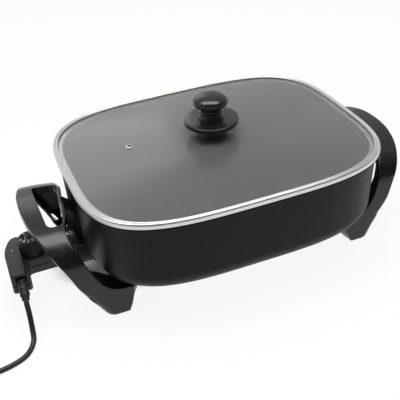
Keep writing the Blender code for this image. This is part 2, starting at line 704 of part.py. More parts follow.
def make_lid(looks):
    lift = empty_at("lid_lift", (0, 0, PAN_TOP_Z))
    base = PAN_TOP_Z + GAP
    top = base + RIM_HEIGHT
    lower = base + RIM_METAL
    skirt = RIM_LIP + RIM_METAL + PAN_FLANGE_WIDTH / 4
    outer = [(RIM_BEAD, base), (0, base + RIM_BEAD), (0, base + RIM_HEIGHT * 0.30),
             (RIM_BEAD * 0.8, base + RIM_HEIGHT * 0.42), (0, base + RIM_HEIGHT * 0.54),
             (0, top - RIM_BEAD), (RIM_BEAD, top)]
    inner = [(RIM_LIP, top), (RIM_LIP, top - RIM_METAL), (RIM_BEAD + RIM_METAL, top - RIM_METAL),
             (RIM_BEAD + RIM_METAL, lower), (skirt + RIM_METAL, lower),
             (skirt + RIM_METAL, base - RIM_SKIRT), (skirt, base - RIM_SKIRT), (skirt, base)]
    outline_loft("lid_rim", outer + inner, LID_HALF_X, LID_HALF_Y, looks["steel"], True, lift)
    edge = RIM_BEAD + RIM_METAL + GAP
    glass_low = lower + GAP
    glass_high = glass_low + GLASS_THICK
    shoulder_in = RIM_LIP + GAP + GLASS_SHOULDER_RUN
    shoulder_z = glass_high + GLASS_SHOULDER
    half_run = GLASS_SHOULDER_RUN / 2
    shoulder_foot = RIM_LIP + GAP
    upper = [(edge, glass_high), (shoulder_foot, glass_high)]
    upper += [(shoulder_foot + half_run * 0.5, glass_high + GLASS_SHOULDER * 0.3),
              (shoulder_foot + half_run, glass_high + GLASS_SHOULDER * 0.72), (shoulder_in, shoulder_z)]
    sections = [outline(LID_HALF_X - i, LID_HALF_Y - i, z) for i, z in upper]
    full_x, full_y = LID_HALF_X - shoulder_in, LID_HALF_Y - shoulder_in
    for share in DOME_SHARES:
        sections.append(outline(full_x * share, full_y * share, shoulder_z + GLASS_DOME * (1 - share ** 2)))
    under = []
    for share in reversed(DOME_SHARES):
        z = shoulder_z + GLASS_DOME * (1 - share ** 2) - GLASS_THICK
        under.append(outline(full_x * share, full_y * share, z))
    inner_shoulder = shoulder_in + GLASS_THICK * 0.45
    under.append(outline(LID_HALF_X - inner_shoulder, LID_HALF_Y - inner_shoulder, shoulder_z - GLASS_THICK))
    foot_in = RIM_LIP + GAP + GLASS_THICK * 0.55
    under.append(outline(LID_HALF_X - foot_in, LID_HALF_Y - foot_in, glass_low))
    under.append(outline(LID_HALF_X - edge, LID_HALF_Y - edge, glass_low))
    glass = loft_plate("lid_glass", sections, under, looks["glass"], lift)
    centre_top = shoulder_z + GLASS_DOME * (1 - DOME_SHARES[-1] ** 2)
    for name, x, y, radius in (("knob_hole_cutter", 0, 0, KNOB_BORE + GAP),
                               ("vent_hole_cutter", VENT_X, VENT_Y, VENT_RADIUS - VENT_LIP)):
        start, end = (x, y, centre_top - CUT), (x, y, centre_top + CUT)
        cut(glass, rod(name, radius, start, end, None, 16))
    make_vent(looks, lift, full_x, full_y, shoulder_z)
    make_knob(looks, lift, centre_top)
    return lift


def loft_plate(name, upper, under, look, parent):
    """Skin from the middle of the upper side out over the edge to the middle of the lower side."""
    sections = list(reversed(upper)) + list(reversed(under))
    return loft(name, sections, look, False, parent)


def make_vent(looks, lift, full_x, full_y, shoulder_z):
    reach = max(abs(VENT_X) / full_x, abs(VENT_Y) / full_y)
    top = shoulder_z + GLASS_DOME * (1 - reach ** 2)
    neck = VENT_RADIUS - VENT_LIP - GAP
    lip_low = top + GAP * 2
    under_high = top - GLASS_THICK - GAP * 2
    profile = [(VENT_BORE, lip_low + VENT_LIP), (VENT_RADIUS - VENT_LIP / 2, lip_low + VENT_LIP),
               (VENT_RADIUS, lip_low + VENT_LIP / 2), (VENT_RADIUS, lip_low), (neck, lip_low),
               (neck, under_high), (VENT_RADIUS, under_high), (VENT_RADIUS, under_high - VENT_LIP),
               (VENT_BORE, under_high - VENT_LIP)]
    turned("vent_grommet", profile, looks["bright_steel"], (VENT_X, VENT_Y, 0), 16, lift, "Z", True)


def make_knob(looks, lift, glass_top):
    spacer_low = glass_top + GAP
    spacer_high = spacer_low + SPACER_HEIGHT
    bore = KNOB_BORE
    flare = SPACER_RADIUS * 0.92
    spacer = [(bore, spacer_high), (flare, spacer_high), (flare, spacer_low + SPACER_HEIGHT * 0.30),
              (SPACER_RADIUS, spacer_low + SPACER_HEIGHT * 0.12), (SPACER_RADIUS, spacer_low), (bore, spacer_low)]
    turned("knob_spacer", spacer, looks["phenolic"], (0, 0, 0), KNOB_STEPS, lift, "Z", True)
    disc_low = spacer_high + GAP
    disc_high = disc_low + DISC_THICK
    flat = DISC_RADIUS * 0.74
    disc = [(bore, disc_high), (flat, disc_high), (DISC_RADIUS * 0.92, disc_high - DISC_DROP * 0.45),
            (DISC_RADIUS, disc_high - DISC_DROP), (DISC_RADIUS, disc_low - DISC_DROP * 0.6),
            (DISC_RADIUS * 0.96, disc_low - DISC_DROP * 0.6), (flat, disc_low), (bore, disc_low)]
    turned("knob_disc", disc, looks["phenolic"], (0, 0, 0), KNOB_STEPS, lift, "Z", True)
    foot = disc_high + GAP
    stem_top = foot + STEM_HEIGHT
    cap_top = stem_top + CAP_HEIGHT
    waist = STEM_RADIUS
    knob = [(0, cap_top), (CAP_RADIUS * 0.42, cap_top - CAP_HEIGHT * 0.03),
            (CAP_RADIUS * 0.74, cap_top - CAP_HEIGHT * 0.15),
            (CAP_RADIUS * 0.93, cap_top - CAP_HEIGHT * 0.36), (CAP_RADIUS, cap_top - CAP_HEIGHT * 0.60),
            (CAP_RADIUS * 0.95, cap_top - CAP_HEIGHT * 0.82), (CAP_RADIUS * 0.80, cap_top - CAP_HEIGHT * 0.97),
            (waist, stem_top - CAP_HEIGHT * 0.06), (waist * 0.98, stem_top - STEM_HEIGHT * 0.35),
            (waist * 1.10, stem_top - STEM_HEIGHT * 0.52), (waist * 1.04, stem_top - STEM_HEIGHT * 0.60),
            (waist * 1.12, stem_top - STEM_HEIGHT * 0.78), (STEM_FOOT_RADIUS, foot + STEM_HEIGHT * 0.08),
            (STEM_FOOT_RADIUS, foot), (bore, foot), (bore, stem_top), (0, stem_top)]
    turned("lid_knob", knob, looks["phenolic"], (0, 0, 0), KNOB_STEPS, lift)
    under = glass_top - GLASS_THICK - GAP
    gasket_low = under - GASKET_THICK
    gasket = [(bore, under), (GASKET_RADIUS, under), (GASKET_RADIUS, gasket_low), (bore, gasket_low)]
    turned("knob_gasket", gasket, looks["silicone"], (0, 0, 0), 16, lift, "Z", True)
    washer_high = gasket_low - GAP
    washer_low = washer_high - WASHER_THICK
    washer = [(bore, washer_high), (WASHER_RADIUS, washer_high), (WASHER_RADIUS, washer_low), (bore, washer_low)]
    turned("knob_washer", washer, looks["bright_steel"], (0, 0, 0), 16, lift, "Z", True)
    machine_screw("knob_screw", SCREW_RADIUS, WASHER_RADIUS * 0.5, WASHER_THICK * 1.6,
                  min(KNOB_SCREW_LENGTH, stem_top - GAP - washer_low), (0, 0, washer_low - GAP),
                  looks["bright_steel"], "Z", lift, 16)


def arch_stations():
    """Stations from the near foot over the crown to the far foot."""
    stations = []
    for y, z, out, inner, leg in ARCH_SHARES:
        stations.append((-y, z, out, inner, leg))
    for y, z, out, inner, leg in reversed(ARCH_SHARES[:-1]):
        stations.append((y, z, out, inner - far_flare(y), leg))
    return stations


def far_flare(y):
    """How much nearer to the pan the band's inner edge comes at its far shoulder."""
    rise = min(max(y / FLARE_PEAK_SHARE, 0), 1)
    fall = min(max((1 - y) / (1 - FLARE_PEAK_SHARE), 0), 1)
    crown = SHOULDER_FLARE / HANDLE_REACH * eased(rise) * eased(fall)
    leg_high, leg_low = FAR_LEG_SHARES
    leg_end = min(max((leg_low - y) / (leg_low - leg_high), 0), 1)
    return max(crown, FAR_LEG_FLARE / HANDLE_REACH * eased(rise) * eased(leg_end))


def eased(share):
    return 3 * share ** 2 - 2 * share ** 3


def arch_inward(stations, i):
    """Unit direction across the arch from its outer face inward, level along the legs."""
    low, high = max(i - 1, 0), min(i + 1, len(stations) - 1)
    run = Vector((0, (stations[high][0] - stations[low][0]) * HANDLE_HALF_SPAN,
                  (stations[high][1] - stations[low][1]) * HANDLE_TOP_Z))
    inward = Vector((0, run.z, -run.y))
    if abs(stations[i][0]) > ARCH_SHARES[FIRST_UPRIGHT_STATION][0]:
        inward = Vector((0, -math.copysign(1.0, stations[i][0]), 0))
    return inward.normalized()


def corner_arc(u, w, radius, first, steps):
    """Rounded corner in the section plane: u along the reach, w inward from the skin."""
    points = []
    for i in range(steps + 1):
        angle = math.radians(first - 90 * i / steps)
        points.append((u + radius * math.cos(angle), w - radius * math.sin(angle)))
    return points


def band_section(out_x, in_x, lean, depth, leg, shrink):
    """Section of the moulding as (reach, depth) pairs with its two outer corners rounded."""
    edge = HANDLE_EDGE + (FOOT_EDGE - HANDLE_EDGE) * max(0.0, leg * 2 - 1) ** 2
    out_x, in_x = out_x - shrink, in_x + shrink
    inner = list(reversed(corner_arc(in_x + INNER_EDGE, shrink + INNER_EDGE, INNER_EDGE, 180, 1)))
    outer = list(reversed(corner_arc(out_x - edge, shrink + edge, edge, 90, 2)))
    return [(out_x, depth - shrink)] + outer + inner + [(in_x - lean, depth - shrink)]


def placed_section(side, y, z, inward, section):
    skin = Vector((0, HANDLE_CENTRE_Y + y * HANDLE_HALF_SPAN, z * HANDLE_TOP_Z))
    high, low = max(u for u, w in section), min(u for u, w in section)
    dip = far_flare(y) * HANDLE_REACH * SHOULDER_DIP_SHARE
    points = []
    for u, w in section:
        fall = dip * ((high - u) / (high - low)) ** 2
        points.append(Vector((side * u, skin.y + inward.y * w, skin.z + inward.z * w - fall)))
    return points


def handle_depth(leg):
    return HANDLE_DEPTH + (LEG_DEPTH - HANDLE_DEPTH) * leg


def toe_lean(leg, z):
    rise = TOE_SOLE_SHARE + (1 - TOE_SOLE_SHARE) * min(z / TOE_TOP_SHARE, 1)
    return TOE_LEAN * rise * max(0.0, leg * 2 - 1)


def handle_body(name, side, look):
    """The whole moulding, foot to foot, before it is hollowed."""
    stations = arch_stations()
    sections = []
    for i, (y, z, out, inner, leg) in enumerate(stations):
        inward = arch_inward(stations, i)
        reach_out, reach_in = out * HANDLE_REACH, inner * HANDLE_REACH
        if z == 0:
            sole = band_section(reach_out, reach_in, toe_lean(leg, z), handle_depth(leg), leg, SOLE_EDGE)
            sole = placed_section(side, y, 0, inward, sole)
        section = band_section(reach_out, reach_in, toe_lean(leg, z), handle_depth(leg), leg, 0)
        section = placed_section(side, y, max(z, SOLE_EDGE / HANDLE_TOP_Z), inward, section)
        if i == 0:
            sections.append(sole)
        sections.append(section)
        if i == len(stations) - 1:
            sections.append(sole)
    return loft(name, sections, look, flat_faces=True)


def handle_core(name, side):
    """The hollow on the inner side of the arch, from one foot block to the other."""
    stations = arch_stations()
    last = len(stations) - 1
    sections = []
    for i, (y, z, out, inner, leg) in enumerate(stations):
        if min(i, last - i) < FIRST_HOLLOW_STATION:
            continue
        inward = arch_inward(stations, i)
        out_x = out * HANDLE_REACH - HANDLE_SKIN
        in_x = inner * HANDLE_REACH + HANDLE_SKIN
        if abs(y) * HANDLE_HALF_SPAN < SLOT_HALF_Y + HANDLE_SKIN * 2:
            in_x = max(in_x, SLOT_OUT_X + HANDLE_SKIN)
        depth = handle_depth(leg) + CUT
        section = ((out_x, HANDLE_SKIN), (in_x, HANDLE_SKIN), (in_x - toe_lean(leg, z), depth), (out_x, depth))
        sections.append(placed_section(side, y, z, inward, section))
    return loft(name, sections, None, flat_faces=True)


def handle_slot(name, side):
    """The finger slot: straight outside, and one rail width from the inner edge of the band."""
    stations = [s for s in arch_stations() if abs(s[0]) * HANDLE_HALF_SPAN < SLOT_HALF_Y + SLOT_RADIUS]
    inner = [(s[3] * HANDLE_REACH + RAIL_WIDTH, s[0] * HANDLE_HALF_SPAN) for s in stations]
    inner = [(x, y) for x, y in inner if abs(y) < SLOT_HALF_Y - SLOT_RADIUS]
    near = (inner[0][0], -SLOT_HALF_Y, SLOT_RADIUS)
    far = (inner[-1][0], SLOT_HALF_Y, SLOT_RADIUS)
    corners = [near] + [(x, y, 0) for x, y in inner] + [far]
    corners += [(SLOT_OUT_X, SLOT_HALF_Y, SLOT_RADIUS), (SLOT_OUT_X, -SLOT_HALF_Y, SLOT_RADIUS)]
    plan = [(side * x, HANDLE_CENTRE_Y + y) for x, y in rounded_path(corners, SLOT_STEPS)]
    return extruded(name, plan, HANDLE_TOP_Z - HANDLE_DEPTH - CUT - CUT, HANDLE_TOP_Z + CUT, None)


def make_handle(name, side, look):
    handle = handle_body(name, side, look)
    cut(handle, handle_core(name + "_core_cutter", side))
    cut(handle, handle_slot(name + "_slot_cutter", side))
    root_top = pan_wall_half_x(BOSS_ROOT_TOP_Z) + GAP
    root_low = pan_wall_half_x(BOSS_ROOT_LOW_Z) + GAP
    boss = [(BOSS_OUT_X, BOSS_TOP_Z), (root_top, BOSS_ROOT_TOP_Z)]
    boss += [(root_low, BOSS_ROOT_LOW_Z), (BOSS_OUT_X, BOSS_LOW_Z)]
    boss = [(side * x, z) for x, z in boss]
    low_y, high_y = HANDLE_CENTRE_Y - BOSS_HALF_Y, HANDLE_CENTRE_Y + BOSS_HALF_Y
    join(handle, extruded(name + "_boss_joiner", boss, low_y, high_y, None, "XZ"))
    for sy in (-1, 1):
        x, y = side * TOE_POST_X, toe_post_y(sy)
        post = rod("%s_post_joiner_%d" % (name, sy), TOE_POST_RADIUS, (x, y, TOE_POST_LOW_Z),
                   (x, y, PAN_BASE_Z - GAP), None)
        join(handle, post)
        hole = rod("%s_toe_hole_cutter_%d" % (name, sy), HANDLE_SCREW_RADIUS + GAP, (x, y, -CUT),
                   (x, y, PAN_BASE_Z + CUT), None, 12)
        cut(handle, hole)
        well = rod("%s_toe_well_cutter_%d" % (name, sy), HANDLE_SCREW_HEAD + GAP, (x, y, -CUT),
                   (x, y, TOE_SCREW_SEAT_Z), None, 16)
        cut(handle, well)
    z = BOSS_SCREW_Z
    start = (side * (BOSS_OUT_X + CUT), HANDLE_CENTRE_Y, z)
    end = (side * (pan_wall_half_x(z) - CUT), HANDLE_CENTRE_Y, z)
    cut(handle, rod(name + "_boss_hole_cutter", HANDLE_SCREW_RADIUS + GAP, start, end, None, 12))
    return handle


def toe_post_y(sy):
    return HANDLE_CENTRE_Y + sy * (HANDLE_HALF_SPAN - TOE_POST_INSET)


def make_handle_screws(look):
    z = BOSS_SCREW_Z
    for side, axis, end_name in ((-1, "X", "left"), (1, "-X", "right")):
        seat = (side * (BOSS_OUT_X + GAP), HANDLE_CENTRE_Y, z)
        length = BOSS_OUT_X - pan_wall_half_x(z) - GAP
        machine_screw("boss_screw_" + end_name, HANDLE_SCREW_RADIUS, HANDLE_SCREW_HEAD,
                      HANDLE_SCREW_HEAD_THICK, length, seat, look, axis)
        for sy, place_name in SIDE_NAMES:
            seat = (side * TOE_POST_X, toe_post_y(sy), TOE_SCREW_SEAT_Z - GAP)
            length = PAN_BASE_Z + TOE_SCREW_BITE - seat[2]
            machine_screw("toe_screw_%s_%s" % (end_name, place_name), HANDLE_SCREW_RADIUS, HANDLE_SCREW_HEAD,
                          HANDLE_SCREW_HEAD_THICK, length, seat, look, "Z")


def rounded_rectangle(half_x, half_y, radius, steps):
    corners = [(sx * half_x, sy * half_y, radius) for sx, sy in ((1, 1), (-1, 1), (-1, -1), (1, -1))]
    return rounded_path(corners, steps)


def rounded_path(corners, steps):
    """Round each corner of a closed outline; corners are (x, y, radius)."""
    points = []
    count = len(corners)
    for i in range(count):
        x, y, radius = corners[i]
        here = Vector((x, y))
        before = (Vector(corners[i - 1][:2]) - here).normalized()
        after = (Vector(corners[(i + 1) % count][:2]) - here).normalized()
        if radius == 0:
            points.append((x, y))
            continue
        half = before.angle(after) / 2
        reach = radius / math.tan(half)
        centre = here + (before + after).normalized() * (radius / math.sin(half))
        first, last = here + before * reach, here + after * reach
        start, end = first - centre, last - centre
        for k in range(steps + 1):
            spot = start.lerp(end, k / steps).normalized() * radius
            points.append(tuple(centre + spot))
    return points


def arm_corners(inset=0.0):
    nose = ARM_NOSE_X + inset
    return [(-nose, -ARM_HALF_Y + inset, SHELL_EDGE), (-nose, ARM_HALF_Y - inset, SHELL_EDGE)]


def grip_corners(inset=0.0, setback=0.0):
    """The bar at the outer end, seen from above, run from its inner far corner round to the near end."""
    far, near = GRIP_FAR_Y - inset, GRIP_NEAR_Y + inset + setback
    inner, outer = GRIP_IN_X + inset, GRIP_OUT_X - inset
    tail = GRIP_TAIL_X - inset
    big = ARM_ROUND - inset
    return [(-inner + GRIP_LEAN, far, big), (-tail + GRIP_SHOULDER / 2, far, GRIP_FAR_RADIUS - inset),
            (-tail, far - GRIP_SHOULDER, GRIP_SIDE_RADIUS - inset), (-outer, near, big),
            (-inner - GRIP_LEAN, near, big)]


def control_outline(inset=0.0):
    """Plan of the whole housing: the arm that plugs in, and the bar with its cord guard across the end."""
    arm = arm_corners(inset)
    grip = grip_corners(inset)
    inner_far = (-GRIP_IN_X - inset + GRIP_LEAN / 2, ARM_HALF_Y - inset, 0)
    guard_x = -GUARD_IN_X - inset
    guard_end = (guard_x, GRIP_NEAR_Y + inset, ARM_ROUND - inset)
    guard_root = (guard_x, -ARM_HALF_Y + inset, GUARD_ROUND + inset)
    return rounded_path([arm[1], inner_far] + grip[:-1] + [guard_end, guard_root, arm[0]], 3)


def grip_outline(inset=0.0):
    return rounded_path(grip_corners(inset), 3)


def hollow_arm_outline():
    """Plan of the hollow: behind the solid nose, and on into the bar."""
    wall = SHELL_WALL
    arm_y = ARM_HALF_Y - wall
    back = -(ARM_NOSE_X + NOSE_SOLID)
    grip = grip_corners(wall, EXIT_DEPTH)
    inner_far = (-GRIP_IN_X - wall + GRIP_LEAN / 2, arm_y, 0)
    inner_near = (-GRIP_IN_X - wall - GRIP_LEAN / 2, -arm_y, 0)
    corners = [(back, arm_y, SHELL_EDGE), inner_far] + grip + [inner_near, (back, -arm_y, SHELL_EDGE)]
    return rounded_path(corners, 3)


def relief_path(count):
    """Centre line of the strain relief: out of the bar's end, then drooping."""
    root = Vector((-RELIEF_X, RELIEF_ROOT_Y, RELIEF_Z))
    bend = Vector((-RELIEF_X, RELIEF_BEND_Y, RELIEF_Z))
    end = Vector((-RELIEF_END_X, RELIEF_END_Y, RELIEF_END_Z))
    points = []
    for i in range(count):
        t = i / (count - 1)
        points.append(root * (1 - t) ** 2 + bend * 2 * t * (1 - t) + end * t ** 2)
    return points


def ring_on(path, i, radius, sides):
    """A circle square to the path at one of its points."""
    low, high = max(i - 1, 0), min(i + 1, len(path) - 1)
    along = (path[high] - path[low]).normalized()
    side = Vector((1, 0, 0))
    up = along.cross(side).normalized()
    side = up.cross(along).normalized()
    points = []
    for k in range(sides):
        angle = 2 * math.pi * k / sides
        points.append(path[i] + side * (radius * math.cos(angle)) + up * (radius * math.sin(angle)))
    return points


def make_relief(look, parent):
    path = relief_path(RELIEF_RINGS)
    sections = []
    for i in range(RELIEF_RINGS):
        t = i / (RELIEF_RINGS - 1)
        radius = RELIEF_ROOT_RADIUS + (RELIEF_END_RADIUS - RELIEF_ROOT_RADIUS) * t
        if any(low - WELD < t < high + WELD for low, high in RELIEF_RIB_SHARES):
            radius += RELIEF_RIB
        sections.append(ring_on(path, i, radius, RELIEF_SIDES))
    return loft("strain_relief", sections, look, False, parent)


def plan_loft(name, plan, levels, look, parent=None):
    """Carry a plan outline through (inset, height) levels."""
    sections = [[Vector((x, y, z)) for x, y in plan(inset)] for inset, z in levels]
    return loft(name, sections, look, False, parent)


def make_control(looks):
    slide = empty_at("control_slide", (-ARM_NOSE_X, 0, TERMINAL_Z))
    edge = SHELL_EDGE
    low, seam = ARM_BOTTOM_Z, SPLIT_Z - GAP / 2
    base_levels = ((edge, low), (edge * 0.3, low + edge * 0.3), (0, low + edge), (0, seam))
    base = plan_loft("control_base", control_outline, base_levels, looks["housing"], slide)
    soft = edge * 0.3
    cover_levels = ((0, seam + GAP), (0, ARM_TOP_Z - edge), (soft, ARM_TOP_Z - soft), (edge, ARM_TOP_Z))
    cover = plan_loft("control_cover", control_outline, cover_levels, looks["housing"], slide)
    grip_levels = ((0, SPLIT_Z + edge), (0, GRIP_TOP_Z - edge), (soft, GRIP_TOP_Z - soft), (edge, GRIP_TOP_Z))
    join(cover, plan_loft("control_grip_joiner", grip_outline, grip_levels, None))
    recess = rod("dial_recess_cutter", DIAL_RADIUS + DIAL_RIB + SLIDE_GAP, (-DIAL_X, 0, ARM_TOP_Z - SLIDE_GAP),
                 (-DIAL_X, 0, GRIP_TOP_Z + CUT), None, 32)
    cut(cover, recess)
    floor_z = ARM_BOTTOM_Z + SHELL_WALL
    hollow = hollow_arm_outline()
    cut(base, extruded("base_hollow_cutter", hollow, floor_z, SPLIT_Z + CUT, None))
    cut(cover, extruded("cover_hollow_cutter", hollow, SPLIT_Z - CUT, ARM_TOP_Z - SHELL_WALL, None))
    cut_nose(base)
    shaft_hole = rod("shaft_hole_cutter", SHAFT_RADIUS + GAP, (-DIAL_X, 0, SPLIT_Z),
                     (-DIAL_X, 0, GRIP_TOP_Z + CUT), None)
    cut(cover, shaft_hole)
    lens_hole = rod("lens_hole_cutter", LENS_RADIUS + GAP, (-LENS_X, LENS_Y, SPLIT_Z),
                    (-LENS_X, LENS_Y, GRIP_TOP_Z + CUT), None)
    cut(cover, lens_hole)
    exit_start = (-RELIEF_X, RELIEF_ROOT_Y + CUT, RELIEF_Z)
    exit_end = (-RELIEF_X, GRIP_NEAR_Y - CUT, RELIEF_Z)
    exit_low = (-RELIEF_X - EXIT_HALF_WIDTH, GRIP_NEAR_Y - CUT, EXIT_LOW_Z)
    exit_high = (-RELIEF_X + EXIT_HALF_WIDTH, GRIP_NEAR_Y + EXIT_DEPTH, EXIT_HIGH_Z)
    for item, name in ((base, "base"), (cover, "cover")):
        cut(item, rod(name + "_exit_cutter", RELIEF_ROOT_RADIUS + GAP, exit_start, exit_end, None, 20))
        cut(item, box(name + "_exit_recess_cutter", exit_low, exit_high, None))
    make_relief(looks["rubber"], slide)
    make_thermostat(looks, slide, base, floor_z)
    make_dial(looks, slide)
    return slide


def cut_nose(base):
    start_x = -(ARM_NOSE_X - CUT)
    for side in (-1, 1):
        y = side * TERMINAL_SPREAD
        end = (-(ARM_NOSE_X + NOSE_SOLID + CUT), y, TERMINAL_Z)
        start = (start_x, y, TERMINAL_Z)
        cut(base, rod("sleeve_hole_cutter_%d" % side, SLEEVE_RADIUS + GAP, start, end, None, 16))
    end = (-(ARM_NOSE_X + NOSE_SOLID + CUT), 0, TERMINAL_Z)
    cut(base, rod("probe_hole_cutter", PROBE_RADIUS + GAP, (start_x, 0, TERMINAL_Z), end, None, 16))


def make_thermostat(looks, slide, base, floor_z):
    for side, end_name in SIDE_NAMES:
        bore = PIN_RADIUS + SLIDE_GAP
        profile = [(bore, SLEEVE_LENGTH), (SLEEVE_RADIUS, SLEEVE_LENGTH), (SLEEVE_RADIUS, 0), (bore, 0)]
        place = (-(ARM_NOSE_X + GAP + GAP), side * TERMINAL_SPREAD, TERMINAL_Z)
        turned("contact_sleeve_" + end_name, profile, looks["brass"], place, 12, slide, "-X", True)
    probe = [(0, PROBE_ROOT_X - PROBE_TIP_X), (PROBE_RADIUS * 0.6, PROBE_ROOT_X - PROBE_TIP_X),
             (PROBE_RADIUS, PROBE_ROOT_X - PROBE_TIP_X - PROBE_RADIUS), (PROBE_RADIUS, 0), (0, 0)]
    turned("sensing_probe", probe, looks["bright_steel"], (-PROBE_ROOT_X, 0, TERMINAL_Z), 16, slide, "X")
    frame_x = -(PROBE_ROOT_X + SHELL_WALL)
    frame_low = floor_z + GAP
    frame = box("thermostat_frame", (frame_x - FRAME_LENGTH, -FRAME_HALF_Y, frame_low),
                (frame_x, FRAME_HALF_Y, frame_low + FRAME_THICK), looks["zinc"], 0, 1, slide)
    stack_x = frame_x - STACK_RADIUS - SHELL_WALL
    stack_low = frame_low + FRAME_THICK + GAP
    leaf_low = stack_low + STACK_HEIGHT + GAP
    stack_half_y = LEAF_SPREAD + STACK_RADIUS
    box("insulating_block", (stack_x - STACK_RADIUS, -stack_half_y, stack_low),
        (stack_x + STACK_RADIUS, stack_half_y, stack_low + STACK_HEIGHT), looks["ceramic"], 0, 1, slide)
    for side, end_name in SIDE_NAMES:
        y = side * LEAF_SPREAD
        leaf_x = stack_x - LEAF_LENGTH + STACK_RADIUS
        leaf_high = (stack_x + STACK_RADIUS, y + LEAF_WIDTH / 2, leaf_low + LEAF_THICK)
        leaf = box("leaf_spring_" + end_name, (leaf_x, y - LEAF_WIDTH / 2, leaf_low), leaf_high,
                   looks["brass"], 0, 1, slide)
        tip_x = leaf_x + CONTACT_RADIUS * 2
        join(leaf, rod("contact_joiner_" + end_name, CONTACT_RADIUS, (tip_x, y, leaf_low + LEAF_THICK / 2),
                       (tip_x, y, leaf_low - CONTACT_HEIGHT), None, 12))
    bridge_low = leaf_low + LEAF_THICK + GAP
    half = LEAF_WIDTH / 2
    box("bimetal_bridge", (-DIAL_X - half, -LEAF_SPREAD - half, bridge_low),
        (-DIAL_X + half, LEAF_SPREAD + half, bridge_low + LEAF_THICK), looks["bimetal"], 0, 1, slide)
    lens_top = GRIP_TOP_Z + GAP
    lens_low = lens_top - LENS_LENGTH
    profile = [(0, lens_top), (LENS_RADIUS * 0.7, lens_top), (LENS_RADIUS, lens_top - LENS_RADIUS * 0.3),
               (LENS_RADIUS, lens_low), (0, lens_low)]
    turned("pilot_lens", profile, looks["lens"], (-LENS_X, LENS_Y, 0), 16, slide)
    lamp_top = lens_low - GAP
    rod("pilot_lamp", LAMP_RADIUS, (-LENS_X, LENS_Y, lamp_top), (-LENS_X, LENS_Y, lamp_top - LAMP_LENGTH),
        looks["glass"], 12, slide)
    clamp_y = RELIEF_ROOT_Y + CLAMP_WIDTH
    clamp_x = -(GRIP_IN_X + GRIP_OUT_X) / 2
    clamp_low = floor_z + GAP
    clamp_high = (clamp_x + CLAMP_LENGTH / 2, clamp_y + CLAMP_WIDTH, clamp_low + CLAMP_THICK)
    box("cord_clamp", (clamp_x - CLAMP_LENGTH / 2, clamp_y, clamp_low), clamp_high, looks["zinc"], GAP, 1, slide)
    make_case_screws(looks, slide, base, floor_z)


def make_case_screws(looks, slide, base, floor_z):
    seat = ARM_BOTTOM_Z - GAP
    reach_y = ARM_HALF_Y - SHELL_WALL - CASE_SCREW_HEAD - GAP
    inner_x = ARM_NOSE_X + NOSE_SOLID + CASE_SCREW_HEAD * 2
    places = ((-DIAL_X, reach_y, "outer"), (-inner_x, -reach_y, "inner"))
    for x, y, end_name in places:
        hole = rod("case_screw_hole_cutter_" + end_name, CASE_SCREW_RADIUS + GAP, (x, y, ARM_BOTTOM_Z - CUT),
                   (x, y, SPLIT_Z + CUT), None, 12)
        cut(base, hole)
        machine_screw("case_screw_" + end_name, CASE_SCREW_RADIUS, CASE_SCREW_HEAD, CASE_SCREW_HEAD_THICK,
                      CASE_SCREW_LENGTH, (x, y, seat), looks["bright_steel"], "Z", slide)


def attach(item, parent):
    item.parent = parent
    item.matrix_parent_inverse = parent.matrix_world.inverted()
    return item


def make_dial(looks, slide):
    low = ARM_TOP_Z + GAP
    high = low + DIAL_HEIGHT
    turn = empty_at("dial_turn", (-DIAL_X, 0, low))
    attach(turn, slide)
    bpy.context.view_layer.update()
    count = DIAL_RIBS * 2
    levels = ((DIAL_RADIUS, low, 0.3), (DIAL_RADIUS, low + DIAL_HEIGHT * 0.06, 1.0),
              (DIAL_RADIUS * 0.985, high - DIAL_HEIGHT * 0.14, 1.0),
              (DIAL_RADIUS * 0.975, high - DIAL_HEIGHT * 0.10, 0.0), (DIAL_TOP_RADIUS, high, 0.0))
    sections = []
    for radius, z, rib in levels:
        ring = []
        for k in range(count):
            angle = 2 * math.pi * k / count
            r = radius + (DIAL_RIB * rib if k % 2 else 0)
            ring.append(Vector((r * math.cos(angle) - DIAL_X, r * math.sin(angle), z)))
        sections.append(ring)
    dial = loft("control_dial", sections, looks["phenolic"], False, turn)
    bore_top = low + SHAFT_IN_DIAL + GAP
    cut(dial, rod("dial_bore_cutter", DIAL_BORE, (-DIAL_X, 0, low - CUT), (-DIAL_X, 0, bore_top), None, 16))
    foot = SHAFT_FOOT_Z
    under_cover = ARM_TOP_Z - SHELL_WALL - GAP
    shaft = [(0, low + SHAFT_IN_DIAL), (SHAFT_RADIUS, low + SHAFT_IN_DIAL), (SHAFT_RADIUS, under_cover),
             (COLLAR_RADIUS, under_cover), (COLLAR_RADIUS, under_cover - SHELL_WALL),
             (SHAFT_RADIUS, under_cover - SHELL_WALL), (SHAFT_RADIUS, foot), (0, foot)]
    turned("dial_shaft", shaft, looks["brass"], (-DIAL_X, 0, 0), 16, turn)


